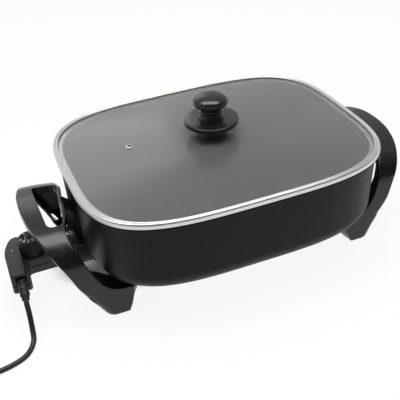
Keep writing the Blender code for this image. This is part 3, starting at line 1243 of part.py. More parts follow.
def smooth_route(route, start_along, end_along, step):
    """Evenly spaced points on a smooth curve through the route's own points."""
    points = [Vector(p) for p in route]
    tangents = []
    for i in range(len(points)):
        if i == 0:
            tangents.append(Vector(start_along).normalized() * (points[1] - points[0]).length)
        elif i == len(points) - 1:
            tangents.append(Vector(end_along).normalized() * (points[-1] - points[-2]).length)
        else:
            tangents.append((points[i + 1] - points[i - 1]) / 2)
    fine = []
    pieces = 40
    for i in range(len(points) - 1):
        for k in range(pieces):
            t = k / pieces
            h00, h10 = 2 * t ** 3 - 3 * t ** 2 + 1, t ** 3 - 2 * t ** 2 + t
            h01, h11 = -2 * t ** 3 + 3 * t ** 2, t ** 3 - t ** 2
            fine.append(points[i] * h00 + tangents[i] * h10 + points[i + 1] * h01 + tangents[i + 1] * h11)
    fine.append(points[-1])
    lengths = [0.0]
    for a, b in zip(fine, fine[1:]):
        lengths.append(lengths[-1] + (b - a).length)
    count = max(2, round(lengths[-1] / step))
    even = [fine[0]]
    j = 0
    for n in range(1, count):
        goal = lengths[-1] * n / count
        while lengths[j + 1] < goal:
            j += 1
        share = (goal - lengths[j]) / (lengths[j + 1] - lengths[j])
        even.append(fine[j].lerp(fine[j + 1], share))
    even.append(fine[-1])
    return even


def coil_points():
    """Centre line of the coil: in along the lower layer, up in a half turn, out along the upper."""
    turns = COIL_LAYER_TURNS * 2 + COIL_CLIMB_TURNS
    count = round(turns * COIL_POINTS)
    low = CORD_RADIUS + COIL_LIFT
    inner = COIL_OUTER - COIL_STEP * (COIL_LAYER_TURNS + COIL_CLIMB_TURNS / 4)
    points = []
    for i in range(count + 1):
        turn = turns * i / count
        up_share = min(max((turn - COIL_LAYER_TURNS) / COIL_CLIMB_TURNS, 0), 1)
        if turn < COIL_LAYER_TURNS:
            radius = COIL_OUTER - COIL_STEP * turn
        elif turn > COIL_LAYER_TURNS + COIL_CLIMB_TURNS:
            radius = COIL_OUTER - COIL_STEP * (turns - turn)
        else:
            bow = (1 - abs(2 * up_share - 1)) * COIL_CLIMB_TURNS / 4
            radius = COIL_OUTER - COIL_STEP * (COIL_LAYER_TURNS + bow)
        radius = max(radius, inner)
        climb = (1 - math.cos(math.pi * up_share)) / 2
        angle = -math.pi / 2 - 2 * math.pi * turn
        x = -COIL_X + radius * math.cos(angle)
        y = COIL_Y + radius * math.sin(angle)
        points.append(Vector((x, y, low + COIL_LAYER_STEP * climb)))
    return with_straight_ends(points)


def with_straight_ends(points):
    first = (points[0] - points[1])
    last = (points[-1] - points[-2])
    first.z = last.z = 0
    straight = CORD_RADIUS * 2
    return [points[0] + first.normalized() * straight] + points + [points[-1] + last.normalized() * straight]


def least_self_gap(points, radius):
    """Least clear distance between parts of one tube that aren't neighbours along it."""
    fine = []
    for a, b in zip(points, points[1:]):
        for k in range(4):
            fine.append(a.lerp(b, k / 4))
    fine.append(points[-1])
    lengths = [0.0]
    for a, b in zip(fine, fine[1:]):
        lengths.append(lengths[-1] + (b - a).length)
    least = None
    for i in range(len(fine)):
        for j in range(i + 1, len(fine)):
            if lengths[j] - lengths[i] < radius * 8:
                continue
            clear = (fine[i] - fine[j]).length - 2 * radius
            if least is None or clear < least:
                least = clear
    return least


def make_cord(looks, slide):
    coil = coil_points()
    gap = least_self_gap(coil, CORD_RADIUS)
    print("coil least gap to itself: %.2f mm" % (gap * 1000))
    if gap < COIL_LEAST_GAP:
        print("coil gap is under its least value")
    tube("cord_coil", coil, CORD_RADIUS, looks["cord"], 1, slide)
    relief = relief_path(RELIEF_RINGS)
    along = (relief[-1] - relief[-2]).normalized()
    start = relief[-1] + along * GAP * 3
    enter = (coil[1] - coil[0]).normalized()
    finish = coil[0] - enter * GAP
    floor = CORD_RADIUS + GAP
    straight = CORD_RADIUS * 2
    route = [start] + [Vector((x, y, max(z, floor))) for x, y, z in CORD_ROUTE] + [finish - enter * straight, finish]
    run = smooth_route(route, along, enter, CORD_STEP)
    run = [Vector((p.x, p.y, max(p.z, floor))) for p in run]
    tube("cord_run", run, CORD_RADIUS, looks["cord"], CORD_SIDES_RESOLUTION, slide)
    leave = (coil[-1] - coil[-2]).normalized()
    tail_start = coil[-1] + leave * GAP
    plug_axis = Vector((0, 1, 0))
    plug_tail = Vector((-PLUG_X, PLUG_TAIL_Y, PLUG_FACE_RADIUS + GAP))
    tail_end = plug_tail - plug_axis * GAP
    tail_route = [tail_start, tail_start + leave * straight, tail_end - plug_axis * straight, tail_end]
    tail = smooth_route(tail_route, leave, plug_axis, CORD_STEP)
    tube("cord_tail", tail, CORD_RADIUS, looks["cord"], CORD_SIDES_RESOLUTION, slide)
    lengths = [sum((b - a).length for a, b in zip(p, p[1:])) for p in (run, coil, tail)]
    print("cord lengths: run %.3f coil %.3f tail %.3f total %.3f m" % (*lengths, sum(lengths)))
    make_plug(looks, slide, plug_tail)
    make_tie(looks, slide)


def make_plug(looks, slide, tail):
    bore = PLUG_PIN_RADIUS
    length = PLUG_LENGTH
    profile = [(0, length), (PLUG_FACE_RADIUS - GAP * 3, length), (PLUG_FACE_RADIUS, length - GAP * 3),
               (PLUG_FACE_RADIUS, length - PLUG_FACE_DEPTH), (PLUG_BODY_RADIUS, length - PLUG_FACE_DEPTH * 1.25),
               (PLUG_BODY_RADIUS * 0.92, length * 0.40), (PLUG_TAIL_RADIUS * 1.25, length * 0.28),
               (PLUG_TAIL_RADIUS, 0), (0, 0)]
    plug = turned("plug_body", profile, looks["rubber"], tail, 20)
    plug.rotation_euler = (-math.pi / 2, 0, 0)
    bpy.context.view_layer.update()
    attach(plug, slide)
    face_y = tail.y + length
    for side, end_name in ((-1, "left"), (1, "right")):
        x = tail.x + side * PLUG_PIN_SPREAD
        start = (x, face_y - CUT, tail.z)
        end = (x, face_y + PLUG_PIN_LENGTH, tail.z)
        hole_end = (x, face_y + CUT, tail.z)
        cut(plug, rod("plug_pin_hole_cutter_%d" % side, bore + GAP, start, hole_end, None, 12))
        rod("plug_pin_" + end_name, bore, (x, face_y - CUT + GAP, tail.z), end, looks["bright_steel"], 12, slide)


def make_tie(looks, slide):
    """A flat band round all the turns of the coil at one place."""
    inner = COIL_OUTER - COIL_STEP * (COIL_LAYER_TURNS + COIL_CLIMB_TURNS / 4)
    low_r = inner - CORD_RADIUS - GAP
    high_r = COIL_OUTER + CORD_RADIUS + GAP
    half_x = (high_r - low_r) / 2
    low_z = COIL_LIFT - GAP
    high_z = COIL_LIFT + CORD_RADIUS * 2 + COIL_LAYER_STEP + GAP
    half_z = (high_z - low_z) / 2
    centre_z = (high_z + low_z) / 2
    radius = CORD_RADIUS
    centre_r = (low_r + high_r) / 2
    ring_in = rounded_rectangle(half_x, half_z, radius, 3)
    ring_out = rounded_rectangle(half_x + TIE_THICK, half_z + TIE_THICK, radius + TIE_THICK, 3)
    turn = Matrix.Rotation(TIE_ANGLE, 4, "Z")
    centre = Vector((-COIL_X, COIL_Y, centre_z))
    sections = []
    for ring, across in ((ring_out, -1), (ring_out, 1), (ring_in, 1), (ring_in, -1)):
        section = []
        for u, v in ring:
            local = Vector((centre_r + u, across * TIE_WIDTH / 2, v))
            section.append(centre + turn @ local)
        sections.append(section)
    loft("coil_tie", sections, looks["tie"], True, slide)


def make_looks():
    return {
        "coating": material("coating", (0.013, 0.013, 0.014), 0.42, 0.0),
        "bare_aluminium": material("bare_aluminium", (0.62, 0.62, 0.62), 0.38, 1.0),
        "steel": material("rim_steel", (0.74, 0.74, 0.73), 0.24, 1.0),
        "bright_steel": material("bright_steel", (0.78, 0.78, 0.78), 0.20, 1.0),
        "zinc": material("zinc_plate", (0.60, 0.60, 0.58), 0.35, 1.0),
        "brass": material("brass", (0.72, 0.52, 0.20), 0.30, 1.0),
        "bimetal": material("bimetal", (0.50, 0.42, 0.34), 0.35, 1.0),
        "glass": material("lid_glass", (0.55, 0.56, 0.57), 0.04, 0.0, 0.35),
        "phenolic": material("phenolic", (0.010, 0.010, 0.011), 0.22, 0.0),
        "handle": material("handle_plastic", (0.014, 0.014, 0.015), 0.30, 0.0),
        "housing": material("control_plastic", (0.030, 0.030, 0.032), 0.45, 0.0),
        "rubber": material("relief_rubber", (0.016, 0.016, 0.017), 0.55, 0.0),
        "cord": material("cord_sheath", (0.020, 0.020, 0.021), 0.50, 0.0),
        "ceramic": material("ceramic", (0.80, 0.78, 0.72), 0.50, 0.0),
        "silicone": material("silicone", (0.55, 0.55, 0.53), 0.60, 0.0),
        "element": material("element_sheath", (0.16, 0.15, 0.14), 0.45, 1.0),
        "lens": material("pilot_lens", (0.75, 0.70, 0.62), 0.15, 0.0),
        "tie": material("tie_strip", (0.02, 0.02, 0.02), 0.50, 0.0),
    }


def shift_to_origin():
    for item in bpy.data.objects:
        if item.parent is None:
            item.location.x += ORIGIN_SHIFT_X
    bpy.context.view_layer.update()


def main():
    clear_scene()
    looks = make_looks()
    make_pan(looks["coating"])
    make_pad(looks["bare_aluminium"])
    make_element(looks["element"], looks["bright_steel"], looks["ceramic"])
    make_shroud(looks["phenolic"], looks["bright_steel"])
    make_handle("handle_left", -1, looks["handle"])
    make_handle("handle_right", 1, looks["handle"])
    make_handle_screws(looks["bright_steel"])
    make_lid(looks)
    slide = make_control(looks)
    make_cord(looks, slide)
    shift_to_origin()


main()
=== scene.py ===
"""Electric table skillet with a lift-off glass lid, seen on a plain pale floor.

Metres, +Z up. Shapes are written round the pan's centre; SHIFT moves them to the frame's origin.
"""

import math

import bmesh
import bpy
from mathutils import Matrix, Vector


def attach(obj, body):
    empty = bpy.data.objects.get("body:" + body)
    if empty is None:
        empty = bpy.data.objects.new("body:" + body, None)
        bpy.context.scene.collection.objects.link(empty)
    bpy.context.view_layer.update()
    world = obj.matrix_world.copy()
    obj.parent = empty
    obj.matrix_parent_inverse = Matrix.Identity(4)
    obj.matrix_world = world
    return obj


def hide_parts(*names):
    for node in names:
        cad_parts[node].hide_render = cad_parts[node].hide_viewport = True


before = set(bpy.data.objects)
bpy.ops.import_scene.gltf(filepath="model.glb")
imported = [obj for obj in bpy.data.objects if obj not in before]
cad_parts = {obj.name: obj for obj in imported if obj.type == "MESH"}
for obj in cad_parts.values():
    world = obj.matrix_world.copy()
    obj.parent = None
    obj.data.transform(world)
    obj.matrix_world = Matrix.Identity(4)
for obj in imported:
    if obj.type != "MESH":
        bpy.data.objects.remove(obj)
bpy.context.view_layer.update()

GAP = 0.0003
SLIDE_GAP = 0.0004
CUT = 0.010
OUTLINE_POWER = 3.68
RING = 208

PAN_HALF_X = 0.2125
PAN_HALF_Y = 0.1725
PAN_TOP_Z = 0.1597
PAN_BASE_Z = 0.0460
PAN_WALL_INSET = 0.0065
PAN_FLANGE_HIDE = 0.0032
PAN_FLANGE_THICK = 0.0032
PAN_TAPER_X = 0.0030
PAN_TAPER_Y = 0.0065
PAN_CORNER_RADIUS = 0.0350
PAN_INNER_RADIUS = 0.0290
PAN_WALL = 0.0034
PAN_FLOOR_Z = 0.0545
PAN_WEB = 0.0040
PAD_HALF_X = 0.1400
PAD_HALF_Y = 0.1240
TERMINAL_SPREAD = 0.0110
TERMINAL_Z = 0.0455
BEAD_RADIUS = 0.0040
PROBE_RADIUS = 0.0030

LID_HALF_X = 0.2100
LID_HALF_Y = 0.1700
RIM_HEIGHT = 0.0078
RIM_METAL = 0.0011
RIM_LIP = 0.0066
RIM_SKIRT = 0.0050
RIM_BEAD = 0.0011
GLASS_THICK = 0.0040
GLASS_RISE = 0.01097
VENT_X, VENT_Y = -0.1130, 0.0210
VENT_RADIUS = 0.0054
VENT_BORE = 0.0028
VENT_LIP = 0.0012
SPACER_RADIUS = 0.0215
SPACER_HEIGHT = 0.0186
DISC_RADIUS = 0.0375
DISC_THICK = 0.0054
DISC_DROP = 0.0034
STEM_FOOT_RADIUS = 0.0180
STEM_RADIUS = 0.0150
STEM_HEIGHT = 0.0170
CAP_RADIUS = 0.0240
CAP_HEIGHT = 0.0165
KNOB_BORE = 0.0026

HANDLE_REACH = 0.2746
HANDLE_HALF_SPAN = 0.1128
HANDLE_CENTRE_Y = 0.0115
HANDLE_TOP_Z = 0.1280
HANDLE_SKIN = 0.0030
HANDLE_DEPTH = 0.0100
SHOULDER_FLARE = 0.0150
FAR_LEG_FLARE = 0.0085
FAR_LEG_SHARES = (0.940, 0.962)
SHOULDER_DIP_SHARE = 0.34
FLARE_PEAK_SHARE = 0.60
TOE_TOP_SHARE = 0.26
TOE_SOLE_SHARE = 0.20
HANDLE_EDGE = 0.0018
INNER_EDGE = 0.0012
FOOT_EDGE = 0.0140
TOE_ROUND = 0.0090
SOLE_EDGE = 0.0012
LEG_DEPTH = 0.0260
TOE_LEAN = 0.0220
SLOT_OUT_X = 0.2490
RAIL_WIDTH = 0.0050
SLOT_HALF_Y = 0.0530
SLOT_RADIUS = 0.0080
SLOT_LIP = 0.0013
BOSS_HALF_Y = 0.0180
BOSS_OUT_X = 0.21916
BOSS_TOP_Z = 0.1235
BOSS_ROOT_TOP_Z = 0.1110
BOSS_ROOT_LOW_Z = 0.0700
BOSS_LOW_Z = 0.0900
BOSS_SCREW_Z = 0.1010
TOE_POST_X = HANDLE_REACH * 0.583
TOE_POST_REACH_Y = 0.0910
TOE_POST_RADIUS = 0.0056
TOE_POST_LOW_Z = 0.0200
HANDLE_SCREW_RADIUS = 0.0020
HANDLE_SCREW_HEAD = 0.0038
TOE_SCREW_SEAT_Z = 0.0160
ARCH_SHARES = (
    (1.000, 0.000, 0.7340, 0.6190, 1.00),
    (0.987, 0.100, 0.7620, 0.5995, 1.00),
    (0.975, 0.200, 0.7960, 0.5865, 1.00),
    (0.967, 0.258, 0.8110, 0.5845, 1.00),
    (0.964, 0.280, 0.8160, 0.5935, 1.00),
    (0.962, 0.294, 0.8195, 0.6480, 0.95),
    (0.958, 0.328, 0.8240, 0.6920, 0.86),
    (0.950, 0.391, 0.8375, 0.7260, 0.72),
    (0.940, 0.461, 0.8520, 0.7485, 0.58),
    (0.923, 0.550, 0.8690, 0.7700, 0.42),
    (0.901, 0.635, 0.8880, 0.7850, 0.28),
    (0.872, 0.705, 0.9060, 0.7960, 0.17),
    (0.820, 0.775, 0.9240, 0.8080, 0.09),
    (0.755, 0.832, 0.9400, 0.8230, 0.04),
    (0.676, 0.884, 0.9550, 0.8320, 0.00),
    (0.585, 0.925, 0.9680, 0.8320, 0.00),
    (0.495, 0.951, 0.9780, 0.8250, 0.00),
    (0.405, 0.969, 0.9855, 0.8110, 0.00),
    (0.305, 0.985, 0.9930, 0.7980, 0.00),
    (0.150, 0.997, 0.9985, 0.7910, 0.00),
    (0.000, 1.000, 1.0000, 0.7890, 0.00),
)
FIRST_HOLLOW_STATION = 2
FIRST_UPRIGHT_STATION = 9

ARM_HALF_Y = 0.0180
ARM_BOTTOM_Z = 0.0400
ARM_TOP_Z = 0.0640
ARM_NOSE_X = 0.1985
ARM_ROUND = 0.0040
SPLIT_Z = 0.0520
SHELL_WALL = 0.0020
SHELL_EDGE = 0.0016
GRIP_OUT_X = 0.3085
GRIP_IN_X = 0.2850
GRIP_FAR_Y = 0.0360
GRIP_NEAR_Y = -0.0500
GRIP_TOP_Z = 0.0700
GRIP_LEAN = 0.0030
GRIP_TAIL_X = 0.3070
GRIP_SHOULDER = 0.0260
GRIP_FAR_RADIUS = 0.0110
GRIP_SIDE_RADIUS = 0.0700
GUARD_IN_X = 0.2828
GUARD_ROUND = 0.0080
EXIT_DEPTH = 0.0045
EXIT_HALF_WIDTH = 0.0078
EXIT_LOW_Z = 0.0445
EXIT_HIGH_Z = 0.0665
NOSE_SOLID = 0.0240
SLEEVE_RADIUS = 0.0032
DIAL_X = 0.2705
DIAL_RADIUS = 0.0154
DIAL_HEIGHT = 0.0245
DIAL_RIB = 0.0007
DIAL_RIBS = 26
DIAL_TOP_RADIUS = 0.0138
DIAL_BORE = 0.0028
SHAFT_RADIUS = 0.0024
SHAFT_IN_DIAL = 0.0120
LENS_X = 0.2955
LENS_Y = 0.0060
LENS_RADIUS = 0.0022
CASE_SCREW_RADIUS = 0.0014
CASE_SCREW_HEAD = 0.0026

CORD_ROUTE = (
    (-0.2977, -0.0850, 0.0340),
    (-0.2988, -0.0960, 0.0200),
    (-0.3022, -0.1120, 0.0078),
    (-0.3170, -0.1290, 0.0038),
    (-0.3440, -0.1385, 0.0038),
    (-0.3750, -0.1400, 0.0038),
)
CORD_RADIUS = 0.0035
RELIEF_ROOT_Y = -0.0410
RELIEF_Z = 0.0560
RELIEF_X = 0.2955
RELIEF_BEND_Y = -0.0610
RELIEF_END_Y = -0.0735
RELIEF_END_Z = 0.0450
RELIEF_END_X = 0.2972
RELIEF_ROOT_RADIUS = 0.0058
RELIEF_END_RADIUS = 0.0050
RELIEF_RIB = 0.0012
RELIEF_RIB_SHARES = ((0.17, 0.31), (0.43, 0.57), (0.68, 0.82))
COIL_X = 0.4150
COIL_Y = -0.0935
COIL_OUTER = 0.0465
COIL_STEP = 0.0088
COIL_LAYER_STEP = 0.0078
COIL_LAYER_TURNS = 1.375
COIL_CLIMB_TURNS = 0.5
COIL_LIFT = 0.0018
COIL_POINTS = 48
CORD_STEP = 0.0052
TIE_WIDTH = 0.0060
TIE_THICK = 0.0012
TIE_ANGLE = 2.35
PLUG_FACE_RADIUS = 0.0185
PLUG_FACE_DEPTH = 0.0150
PLUG_BODY_RADIUS = 0.0135
PLUG_LENGTH = 0.0520
PLUG_TAIL_RADIUS = 0.0055
PLUG_PIN_RADIUS = 0.0024
PLUG_PIN_SPREAD = 0.0095
PLUG_X = 0.4560
PLUG_TAIL_Y = -0.0200

SHIFT = (GRIP_OUT_X - HANDLE_REACH) / 2

GLASS_CLEAR = 0.935
FLOOR_GLOW = 0.90
FLOOR_SHADE = 0.92
SHADE_HALF_X = 0.245
SHADE_HALF_Y = 0.125
SHADE_CENTRE_Y = 0.040
SHADE_CORE = 0.80

WHITE = (1, 1, 1, 1)
IMAGE_WIDTH = 400
SENSOR_WIDTH = 36
FOCAL_PIXELS = 733.1
CAMERA_PLACE = (-0.33132616, -0.82639126, 0.65766124)
CAMERA_RIGHT = (0.92244803, -0.38212648, -0.05539849)
CAMERA_UP = (0.25466793, 0.49426676, 0.83117063)
LAMP_TARGET = (0, 0, 0.1)
# name: place, width, depth and power
LAMPS = {
    "overhead_softbox": ((-0.05, -0.1, 1.45), 1.8, 0.6, 19),
    "back_softbox": ((-0.1, 2.4, 1.4), 1.6, 0.9, 5),
}
ROOM_LIGHT = 0.40
ROOM_DARK, ROOM_DARK_Y = 0.07, -0.75
ROOM_PALE, ROOM_PALE_Y = 0.72, 0.45
FLOOR_HALF = 6.0
FLOOR_DROP = 0.0002

PAN_EDGE = 0.0010
FLANGE_FILLET = 0.0016
GLASS_SHARES = (1.0, 0.985, 0.965, 0.94, 0.905, 0.86, 0.80, 0.72, 0.63, 0.53, 0.42, 0.31, 0.20)
SEAM_GROOVE = 0.0005
DIAL_RIM = 0.0010
DIAL_WELL_DEPTH = 0.0007
DIAL_FIRST, DIAL_SPAN = 120, 290
TICKS, TICK_GROUP = 27, 3
TICK_END = 0.0137
PRINT_LIFT, PRINT_THICK = 0.00001, 0.00008
PRINT_RING = (0.0057, 0.0062)
NUMBERS = 10
NUMBER_SIZE = 0.0044
NUMBER_CIRCLE = 0.0102
TIE_BEAD = 0.0003
RELIEF_STATIONS = 97
RELIEF_RIB_GROW, RELIEF_RIB_EASE = 0.02, 0.035
SHARP_STATIONS = 6
OUTLINE_STEPS = 4000
ROUTE_STEPS = 40
TURN_STEPS = 112
TIP_RADIUS = 0.00002

# name: colour, roughness, stretch of the streaks, their scale and depth, tarnish
METALS = {
    "rim_steel": ((0.74, 0.735, 0.705), 0.34, None, 260, 0.000002, 0.92),
    "plain_steel": ((0.72, 0.72, 0.72), 0.26, None, 500, 0.00001, 0.8),
    "zinc_plate": ((0.56, 0.56, 0.54), 0.36, None, 300, 0.00001, 0.75),
    "brass": ((0.70, 0.52, 0.22), 0.32, None, 300, 0.00001, 0.75),
    "bimetal": ((0.50, 0.42, 0.33), 0.36, (8.0, 1.0, 1.0), 300, 0.00001, 0.75),
    "element_sheath": ((0.20, 0.19, 0.17), 0.46, None, 240, 0.00002, 0.6),
}
# name: colour, roughness, scale and depth of the grain, specular level, wear, spread of roughness
MOULDINGS = {
    "phenolic": ((0.0080, 0.0080, 0.0090), 0.24, 900, 0.000005, 0.60, 2.2, 0.04),
    "handle_moulding": ((0.0080, 0.0080, 0.0088), 0.25, 1500, 0.000005, 0.50, 2.0, 0.04),
    "control_moulding": ((0.0150, 0.0150, 0.0160), 0.42, 1100, 0.00004, 0.42, 2.2, 0.06),
    "relief_rubber": ((0.0130, 0.0130, 0.0135), 0.52, 1300, 0.00003, 0.40, 1.8, 0.06),
    "cord_sheath": ((0.0140, 0.0140, 0.0145), 0.44, 1600, 0.00002, 0.42, 1.6, 0.06),
    "tie_strip": ((0.0200, 0.0200, 0.0205), 0.50, 2200, 0.00003, 0.40, 1.8, 0.05),
    "steatite": ((0.66, 0.63, 0.57), 0.55, 900, 0.00002, 0.5, 1.1, 0.05),
    "silicone": ((0.48, 0.48, 0.46), 0.55, 700, 0.00002, 0.45, 1.2, 0.05),
    "dial_moulding": ((0.0075, 0.0075, 0.0085), 0.40, 1100, 0.00002, 0.30, 1.8, 0.05),
}
# look: the CAD's own nodes that stay and wear it
KEPT = {
    "bare_cast_metal": ("base_pad",),
    "element_sheath": ("heating_element",),
    "plain_steel": ("element_pin_near", "element_pin_far", "shroud_screw_near", "shroud_screw_far",
                    "toe_screw_left_near", "toe_screw_left_far", "toe_screw_right_near",
                    "toe_screw_right_far", "knob_washer", "knob_screw", "sensing_probe",
                    "case_screw_outer", "case_screw_inner", "plug_pin_left", "plug_pin_right"),
    "steatite": ("terminal_bead_near", "terminal_bead_far", "insulating_block"),
    "phenolic": ("terminal_shroud",),
    "silicone": ("knob_gasket",),
    "zinc_plate": ("thermostat_frame", "cord_clamp"),
    "brass": ("contact_sleeve_near", "contact_sleeve_far", "leaf_spring_near", "leaf_spring_far",
              "dial_shaft"),
    "bimetal": ("bimetal_bridge",),
    "lens_amber": ("pilot_lens", "pilot_lamp"),
}
LOOKS = {}


# ---------------------------------------------------------------- objects and shader nodes

def placed(name, data):
    item = bpy.data.objects.new(name, data)
    bpy.context.scene.collection.objects.link(item)
    return item


def cleared(owner):
    """The empty node tree of a material or a world."""
    owner.use_nodes = True
    owner.node_tree.nodes.clear()
    return owner.node_tree


def new_node(tree, kind, inputs=None, **settings):
    """A shader node; an input takes a plain value or a link from another node's socket."""
    node = tree.nodes.new("ShaderNode" + kind)
    for key, value in settings.items():
        setattr(node, key, value)
    for key, value in (inputs or {}).items():
        if isinstance(value, bpy.types.NodeSocket):
            tree.links.new(value, node.inputs[key])
        else:
            node.inputs[key].default_value = value
    return node


def ranged(tree, value, start, end, low, high, ease="SMOOTHSTEP"):
    """Brings a value between start and end to one between low and high."""
    inputs = {"From Min": start, "From Max": end, "To Min": low, "To Max": high, "Value": value}
    return new_node(tree, "MapRange", inputs, interpolation_type=ease).outputs[0]


# ---------------------------------------------------------------- camera, light and floor

def make_camera():
    x, y, z = CAMERA_PLACE
    right = Vector(CAMERA_RIGHT)
    back = right.cross(Vector(CAMERA_UP)).normalized()
    up = back.cross(right).normalized()
    data = bpy.data.cameras.new("camera")
    data.sensor_width = SENSOR_WIDTH
    data.lens = SENSOR_WIDTH * FOCAL_PIXELS / IMAGE_WIDTH
    data.clip_end = 50
    camera = placed("camera", data)
    turn = Matrix((right.normalized(), up, back)).transposed().to_4x4()
    camera.matrix_world = Matrix.Translation((x + SHIFT, y, z)) @ turn
    bpy.context.scene.camera = camera


def make_lamps():
    for name, (place, width, depth, power) in LAMPS.items():
        data = bpy.data.lights.new(name, "AREA")
        data.shape = "RECTANGLE"
        data.size, data.size_y, data.energy = width, depth, power
        lamp = placed(name, data)
        lamp.location = place
        way = Vector(LAMP_TARGET) - Vector(place)
        lamp.rotation_euler = way.to_track_quat("-Z", "Y").to_euler()


def sees_background(tree):
    """1 for camera, glossy and transmission rays; and 1 for camera rays alone."""
    path = new_node(tree, "LightPath")
    camera_ray = seen = path.outputs["Is Camera Ray"]
    for kind in ("Is Glossy Ray", "Is Transmission Ray"):
        inputs = {0: seen, 1: path.outputs[kind]}
        seen = new_node(tree, "Math", inputs, operation="MAXIMUM").outputs[0]
    return seen, camera_ray


def make_world():
    """Plain light for the surfaces, and in reflections a room that is paler behind the object."""
    world = bpy.data.worlds.new("studio")
    bpy.context.scene.world = world
    tree = cleared(world)
    seen, camera_ray = sees_background(tree)
    coords = new_node(tree, "TexCoord")
    split = new_node(tree, "SeparateXYZ", {0: coords.outputs["Generated"]})
    pale = ranged(tree, split.outputs["Y"], ROOM_DARK_Y, ROOM_PALE_Y, ROOM_DARK, ROOM_PALE)
    keep = new_node(tree, "Math", {0: camera_ray, 1: pale}, operation="MAXIMUM")
    plain = new_node(tree, "Background", {"Color": WHITE, "Strength": ROOM_LIGHT})
    shown = new_node(tree, "Background", {"Strength": keep.outputs[0]})
    mix = new_node(tree, "MixShader", {0: seen, 1: plain.outputs[0], 2: shown.outputs[0]})
    new_node(tree, "OutputWorld", {0: mix.outputs[0]})


def glow_share(tree):
    """The glow's share, less of it right under the appliance, where the floor lies in shadow."""
    coords = new_node(tree, "TexCoord")
    inputs = {"Scale": (1 / SHADE_HALF_X, 1 / SHADE_HALF_Y, 0),
              "Location": (0, -SHADE_CENTRE_Y / SHADE_HALF_Y, 0),
              "Vector": coords.outputs["Object"]}
    mapping = new_node(tree, "Mapping", inputs)
    length = new_node(tree, "VectorMath", {0: mapping.outputs[0]}, operation="LENGTH")
    return ranged(tree, length.outputs["Value"], SHADE_CORE, 1.0, 0.0, FLOOR_GLOW)


def make_floor():
    """A pale floor that keeps a faint shadow and reads white to the camera."""
    bm = bmesh.new()
    bmesh.ops.create_grid(bm, x_segments=1, y_segments=1, size=FLOOR_HALF)
    mesh = bpy.data.meshes.new("floor")
    bm.to_mesh(mesh)
    bm.free()
    floor = placed("floor", mesh)
    floor.location.z = -FLOOR_DROP
    look = bpy.data.materials.new("pale_floor")
    tree = cleared(look)
    matt = new_node(tree, "BsdfDiffuse", {"Color": (FLOOR_SHADE, FLOOR_SHADE, FLOOR_SHADE, 1)})
    glow = new_node(tree, "Emission", {"Color": WHITE, "Strength": 1.0})
    inputs = {0: sees_background(tree)[0], 1: glow_share(tree)}
    share = new_node(tree, "Math", inputs, operation="MULTIPLY")
    inputs = {0: share.outputs[0], 1: matt.outputs[0], 2: glow.outputs[0]}
    mix = new_node(tree, "MixShader", inputs)
    new_node(tree, "OutputMaterial", {0: mix.outputs[0]})
    mesh.materials.append(look)


# ---------------------------------------------------------------- materials

def lighter(colour, share):
    return tuple(min(1.0, c * share) for c in colour)


class Look:
    """A Principled material with its nodes built step by step."""

    def __init__(self, name):
        self.made = bpy.data.materials.new(name)
        self.tree = cleared(self.made)
        self.shader = self.node("BsdfPrincipled")
        self.node("OutputMaterial", {0: self.shader.outputs[0]})
        self.coords = self.node("TexCoord").outputs["Object"]
        LOOKS[name] = self.made

    def node(self, kind, inputs=None, **settings):
        return new_node(self.tree, kind, inputs, **settings)

    def set(self, **values):
        for key, value in values.items():
            self.shader.inputs[key.replace("_", " ")].default_value = value

    def noise(self, scale, detail=3.0, rough=0.55, stretch=None):
        place = self.coords
        if stretch is not None:
            place = self.node("Mapping", {"Scale": stretch, "Vector": place}).outputs[0]
        inputs = {"Scale": scale, "Detail": detail, "Roughness": rough, "Vector": place}
        return self.node("TexNoise", inputs).outputs["Fac"]

    def spread(self, value, low, high, start=0.3, end=0.7, ease="LINEAR"):
        return ranged(self.tree, value, start, end, low, high, ease)

    def math(self, operation, a, b):
        return self.node("Math", {0: a, 1: b}, operation=operation).outputs[0]

    def blend(self, share, a, b):
        a, b = ((*value, 1) if isinstance(value, tuple) else value for value in (a, b))
        return self.node("Mix", {0: share, 6: a, 7: b}, data_type="RGBA").outputs[2]

    def clouds(self, cloud, dark, pale):
        return self.blend(self.spread(cloud, 0, 1), dark, pale)

    def edges(self):
        bend = self.node("NewGeometry").outputs["Pointiness"]
        return self.spread(bend, 0.0, 1.0, 0.53, 0.60, "SMOOTHSTEP")

    def colour(self, value):
        self.tree.links.new(value, self.shader.inputs["Base Color"])

    def roughness(self, *parts):
        value = parts[0] if len(parts) == 1 else self.math("ADD", *parts)
        self.tree.links.new(value, self.shader.inputs["Roughness"])

    def bump(self, height, distance):
        inputs = {"Strength": 1.0, "Distance": distance, "Height": height}
        self.tree.links.new(self.node("Bump", inputs).outputs[0], self.shader.inputs["Normal"])


def moulding(name, base, rough, grain, depth, level, wear, spread):
    """Moulded plastic: fine grain, faint flow clouds, handling marks and slightly paler edges."""
    look = Look(name)
    marks = look.noise(160, 5, 0.7)
    body = look.clouds(look.noise(26, 4), lighter(base, 0.82), lighter(base, 1.18))
    worn = look.math("MULTIPLY", look.edges(), look.spread(marks, 0.0, 0.8, 0.45, 0.7))
    look.colour(look.blend(worn, body, lighter(base, wear)))
    look.roughness(look.spread(look.noise(75, 4, 0.6), rough - spread, rough + spread),
                   look.spread(marks, -0.03, 0.05, 0.4, 0.75))
    look.bump(look.noise(grain, 2), depth)
    look.set(Specular_IOR_Level=level)


def metal(name, base, rough, stretch, scale, depth, tarnish):
    """Metal with fine streaks, dulled in patches."""
    look = Look(name)
    streak = look.noise(scale, 4, 0.6, stretch)
    look.colour(look.clouds(look.noise(22, 4), lighter(base, tarnish), base))
    look.roughness(look.spread(streak, rough - 0.05, rough + 0.08),
                   look.spread(look.noise(70, 5), -0.02, 0.06))
    look.bump(streak, depth)
    look.set(Metallic=1.0)


